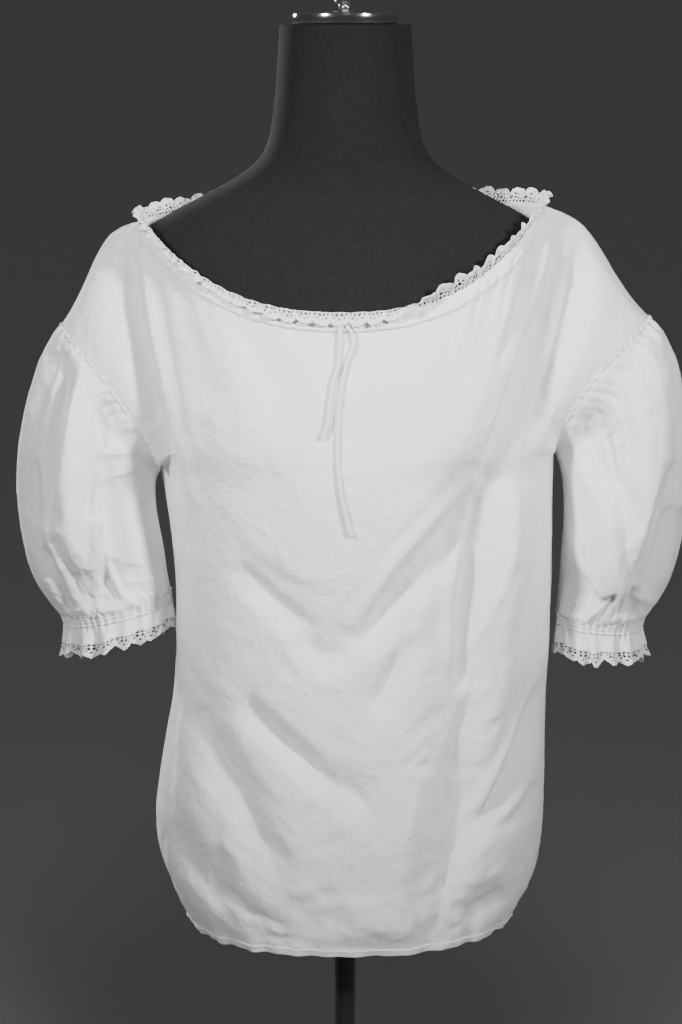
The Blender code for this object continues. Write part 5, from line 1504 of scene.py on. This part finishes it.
class BLOUSE_OT_stage(bpy.types.Operator):
    """Set up the camera, the soft lights and the pale floor"""
    bl_idname = "blouse.stage"
    bl_label = "Studio"

    def execute(self, context):
        settings = context.scene.blouse_stage
        camera = bpy.data.objects.new("camera", bpy.data.cameras.new("camera"))
        camera.location = CAMERA_PLACE
        camera.rotation_euler = (math.radians(CAMERA_TILT), 0, 0)
        camera.data.lens = settings.lens
        camera.data.sensor_width = SENSOR_WIDTH
        context.scene.collection.objects.link(camera)
        context.scene.camera = camera
        for name, power, place, aim, size, spread in LIGHTS:
            light = bpy.data.objects.new(name, bpy.data.lights.new(name, "AREA"))
            light.data.energy = getattr(settings, power)
            light.data.size = size
            light.data.spread = math.radians(spread)
            light.location = place
            light.rotation_euler = (Vector(aim) - Vector(place)).to_track_quat("-Z", "Y").to_euler()
            context.scene.collection.objects.link(light)
        world = bpy.data.worlds.new("surroundings")
        world.use_nodes = True
        tree = world.node_tree
        background = tree.nodes["Background"]
        background.inputs["Strength"].default_value = settings.sky
        direction = tree.nodes.new("ShaderNodeTexCoord")
        parts = tree.nodes.new("ShaderNodeSeparateXYZ")
        ramp = tree.nodes.new("ShaderNodeValToRGB")
        for element, place, shade in zip(ramp.color_ramp.elements, SKY_HEIGHTS, (settings.horizon, 1.0)):
            element.position = place
            element.color = (shade, shade, shade, 1)
        tree.links.new(direction.outputs["Generated"], parts.inputs[0])
        tree.links.new(parts.outputs["Z"], ramp.inputs["Fac"])
        tree.links.new(ramp.outputs["Color"], background.inputs["Color"])
        context.scene.world = world
        shape = bmesh.new()
        bmesh.ops.create_circle(shape, cap_ends=True, segments=FLOOR_SIDES, radius=FLOOR_RADIUS)
        nodes = Nodes("studio floor")
        grain = nodes.noise(nodes.places("Object"), scale=3.0, detail=3.0)
        nodes.shades(grain, tinted(settings.floor, 0.97), settings.floor)
        nodes.surface(roughness=0.95)
        new_object("floor", finished_mesh("floor", shape), nodes.material)
        return {"FINISHED"}


class BLOUSE_OT_drawstring(bpy.types.Operator):
    """Make the two free ends of the neck drawstring"""
    bl_idname = "blouse.drawstring"
    bl_label = "Drawstring"

    def execute(self, context):
        settings = context.scene.blouse_string
        finish = cord_material("twisted cotton cord", settings.color)
        for name, route in (("drawstring_long", STRING_LONG), ("drawstring_short", STRING_SHORT)):
            path = np.array([[spline(column, share) for column in zip(*route)]
                             for share in np.linspace(0, 1, STRING_STEPS + 1)])
            piece = cord_piece(name + "_cord", path, settings.diameter / MM / 2, finish)
            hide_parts(name)
        return {"FINISHED"}


class BLOUSE_OT_panels(bpy.types.Operator):
    """Make the front and back with their neck casings, turned hems and stitches"""
    bl_idname = "blouse.panels"
    bl_label = "Front and back"

    def execute(self, context):
        settings = context.scene.blouse_cloth
        cotton = cotton_material("washed cotton", settings.cotton)
        # Painted light: a lighter copy of the cotton for the doubled neck casings and hems, which look
        # brighter
        band = cotton_material("washed cotton bands", settings.cotton, painted_lightness=1.03)
        thread = cord_material("sewing thread", tinted(settings.cotton, 0.96))
        neckline = slice(NECK_FIRST, NECK_LAST + 1)
        for face, label in ((-1, "front"), (1, "back")):
            net, out = panel_surface(face)
            panel = cloth_piece(label + "_cloth", net, cotton, on_axis, settings.wall)
            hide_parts(label)
            neck = net[-1 - ROW_STEPS:, neckline] + BAND_LIFT * out[-1 - ROW_STEPS:, neckline]
            hem = net[:ROW_STEPS + 1] + BAND_LIFT * out[:ROW_STEPS + 1]
            for name, band_net in (("neck_casing_", neck), ("hem_", hem)):
                piece = cloth_piece(name + label + "_cloth", band_net, band, on_axis, settings.wall)
                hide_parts(name + label)
            for name, line, line_out in (("neck_stitches_", neck[1], out[-ROW_STEPS, neckline]),
                                         ("hem_stitches_", hem[-2], out[ROW_STEPS - 1])):
                stitches = stitch_line(name + label, line, line_out, settings.stitch_pitch / MM, thread)
        return {"FINISHED"}


class BLOUSE_OT_sleeves(bpy.types.Operator):
    """Make the two gathered puff sleeves"""
    bl_idname = "blouse.sleeves"
    bl_label = "Sleeves"

    def execute(self, context):
        settings = context.scene.blouse_cloth
        cotton = cotton_material("washed cotton sleeves", settings.cotton)
        for side, label in ((-1, "right"), (1, "left")):
            net, _ = sleeve_surface(side)
            middles = net[:, :-1].mean(axis=1) * MM

            def inside(point, middles=middles):
                return Vector(middles[np.argmin(np.linalg.norm(middles - np.array(point), axis=1))])

            piece = cloth_piece("sleeve_" + label + "_cloth", net, cotton, inside, settings.wall,
                                closed=True)
            seam = tube_piece("armhole_seam_" + label, seam_bead(side), cotton)
            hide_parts("sleeve_" + label)
        return {"FINISHED"}


class BLOUSE_OT_cuffs(bpy.types.Operator):
    """Make the puckered cuff casings and the frills below them"""
    bl_idname = "blouse.cuffs"
    bl_label = "Cuffs"

    def execute(self, context):
        settings = context.scene.blouse_cloth
        # Painted light: a slightly lighter copy of the cotton for the cuffs
        cotton = cotton_material("washed cotton cuffs", settings.cotton, painted_lightness=1.01)
        names = ("cuff_casing_", "cuff_frill_")
        for side, label in ((-1, "right"), (1, "left")):
            for name, (net, _), flat in zip(names, cuff_surfaces(side), CUFF_CUTS):
                middle = Vector(net.reshape(-1, 3).mean(axis=0)) * MM
                piece = cloth_piece(name + label + "_cloth", net, cotton, lambda p: middle, settings.wall,
                                    closed=True)
                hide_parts(name + label)
        return {"FINISHED"}


class BLOUSE_OT_edging(bpy.types.Operator):
    """Make the scalloped crochet edging of the neck and the cuffs"""
    bl_idname = "blouse.edging"
    bl_label = "Crochet edging"

    def execute(self, context):
        settings = context.scene.blouse_edging
        finish = crochet_material("crochet edging", settings.thread)
        neckline = slice(NECK_FIRST, NECK_LAST + 1)
        for face, label, scallops, leans in ((-1, "front", NECK_FRONT_SCALLOPS, LACE_LEAN),
                                             (1, "back", NECK_BACK_SCALLOPS, LACE_LEAN_BACK)):
            net, out = panel_surface(face)
            lace = edging_surface(net[-1, neckline], net[-1 - LACE_BELOW, neckline], out[-1, neckline],
                                  scallops, leans, settings.neck_height / MM, LACE_TUCK, LACE_LAYER, False)
            piece = cloth_piece("neck_lace_" + label + "_crochet", lace, finish, on_axis, settings.wall,
                                hole=lace_hole(scallops))
            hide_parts("neck_lace_" + label)
        scallops = CUFF_SCALLOPS // 2
        for side, label in ((-1, "right"), (1, "left")):
            net, out = cuff_surfaces(side)[1]
            middle = Vector(net.reshape(-1, 3).mean(axis=0)) * MM
            for half, name in ((slice(0, CUFF_COLUMNS // 2 + 1), "front"),
                               (slice(CUFF_COLUMNS // 2, CUFF_COLUMNS + 1), "back")):
                lace = edging_surface(net[-1, half], net[-1 - LACE_BELOW, half], out[-1, half], scallops,
                                      CUFF_LACE_LEAN, settings.cuff_height / MM, CUFF_LACE_TUCK,
                                      CUFF_LACE_LAYER, True)
                piece = cloth_piece("cuff_lace_" + label + "_" + name + "_crochet", lace, finish,
                                    lambda p: middle, settings.wall, hole=lace_hole(scallops))
                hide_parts("cuff_lace_" + label + "_" + name)
        return {"FINISHED"}


class BLOUSE_OT_form(bpy.types.Operator):
    """Make the dress form with its cap, knob, pole and base"""
    bl_idname = "blouse.form"
    bl_label = "Dress form"

    def execute(self, context):
        settings = context.scene.blouse_form
        rings = []
        for z, half_width, y_front, y_back, square in FORM_RINGS:
            ring = []
            for angle in (TAU * j / FORM_COLUMN_COUNT for j in range(FORM_COLUMN_COUNT)):
                width, depth = rounded(angle, square)
                side = 1 if math.sin(angle) > 0 else -1
                reach = y_front if math.cos(angle) > 0 else y_back
                ring.append((half_width * width * side, reach * depth, z))
            rings.append(ring)
        net = finer(finer(np.array(rings, float), 0, FORM_STEPS), 1, FORM_STEPS, closed=True)
        shape = cloth_shape(net, on_axis, closed=True)
        rims = [edge for edge in shape.edges if edge.is_boundary]
        bmesh.ops.holes_fill(shape, edges=rims, sides=0)
        bmesh.ops.recalc_face_normals(shape, faces=shape.faces)
        mesh = finished_mesh("form_torso_cover", shape)
        mesh.shade_smooth()
        mesh.set_sharp_from_angle(angle=math.radians(FORM_SHARP))
        torso = new_object("form_torso_cover", mesh, jersey_material("black jersey", settings.cover))
        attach(torso, "root")
        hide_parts("form_torso")
        chrome = metal_material("chrome", settings.chrome, roughness=0.07, metallic=1.0, streaks=0.06)
        paint = metal_material("black stand paint", settings.paint, roughness=0.32, metallic=0.3,
                               streaks=0.12)
        for name, profile, finish, slot in (("form_neck_cap", CAP_PROFILE, chrome, "form_chrome"),
                                            ("form_cap_knob", KNOB_PROFILE, chrome, "form_chrome"),
                                            ("form_pole", POLE_PROFILE, paint, "stand_steel"),
                                            ("form_base", BASE_PROFILE, paint, "stand_steel")):
            piece = spun_piece(name + "_turned", profile, finish)
            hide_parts(name)
        return {"FINISHED"}


class BLOUSE_PT_panel(bpy.types.Panel):
    """Lists the blouse's makers and their settings in the sidebar"""
    bl_label = "Peasant blouse"
    bl_idname = "BLOUSE_PT_panel"
    bl_space_type = "VIEW_3D"
    bl_region_type = "UI"
    bl_category = "Blouse"

    def draw(self, context):
        for operator in OPERATORS:
            self.layout.operator(operator.bl_idname)
        for name, kind in SETTINGS.items():
            settings = getattr(context.scene, name)
            for key in kind.__annotations__:
                self.layout.prop(settings, key)


SETTINGS = {
    "blouse_stage": StageSettings,
    "blouse_string": StringSettings,
    "blouse_cloth": ClothSettings,
    "blouse_edging": EdgingSettings,
    "blouse_form": FormSettings,
}
OPERATORS = (BLOUSE_OT_stage, BLOUSE_OT_drawstring, BLOUSE_OT_panels, BLOUSE_OT_sleeves, BLOUSE_OT_cuffs,
             BLOUSE_OT_edging, BLOUSE_OT_form)


def register():
    for kind in (*SETTINGS.values(), *OPERATORS, BLOUSE_PT_panel):
        bpy.utils.register_class(kind)
    for name, kind in SETTINGS.items():
        setattr(bpy.types.Scene, name, PointerProperty(type=kind))


def unregister():
    for name in SETTINGS:
        delattr(bpy.types.Scene, name)
    for kind in (BLOUSE_PT_panel, *reversed(OPERATORS), *reversed(SETTINGS.values())):
        bpy.utils.unregister_class(kind)


def main():
    register()
    bpy.ops.blouse.stage()
    bpy.ops.blouse.drawstring()
    bpy.ops.blouse.panels()
    bpy.ops.blouse.sleeves()
    bpy.ops.blouse.cuffs()
    bpy.ops.blouse.edging()
    bpy.ops.blouse.form()


if __name__ == "__main__":
    main()
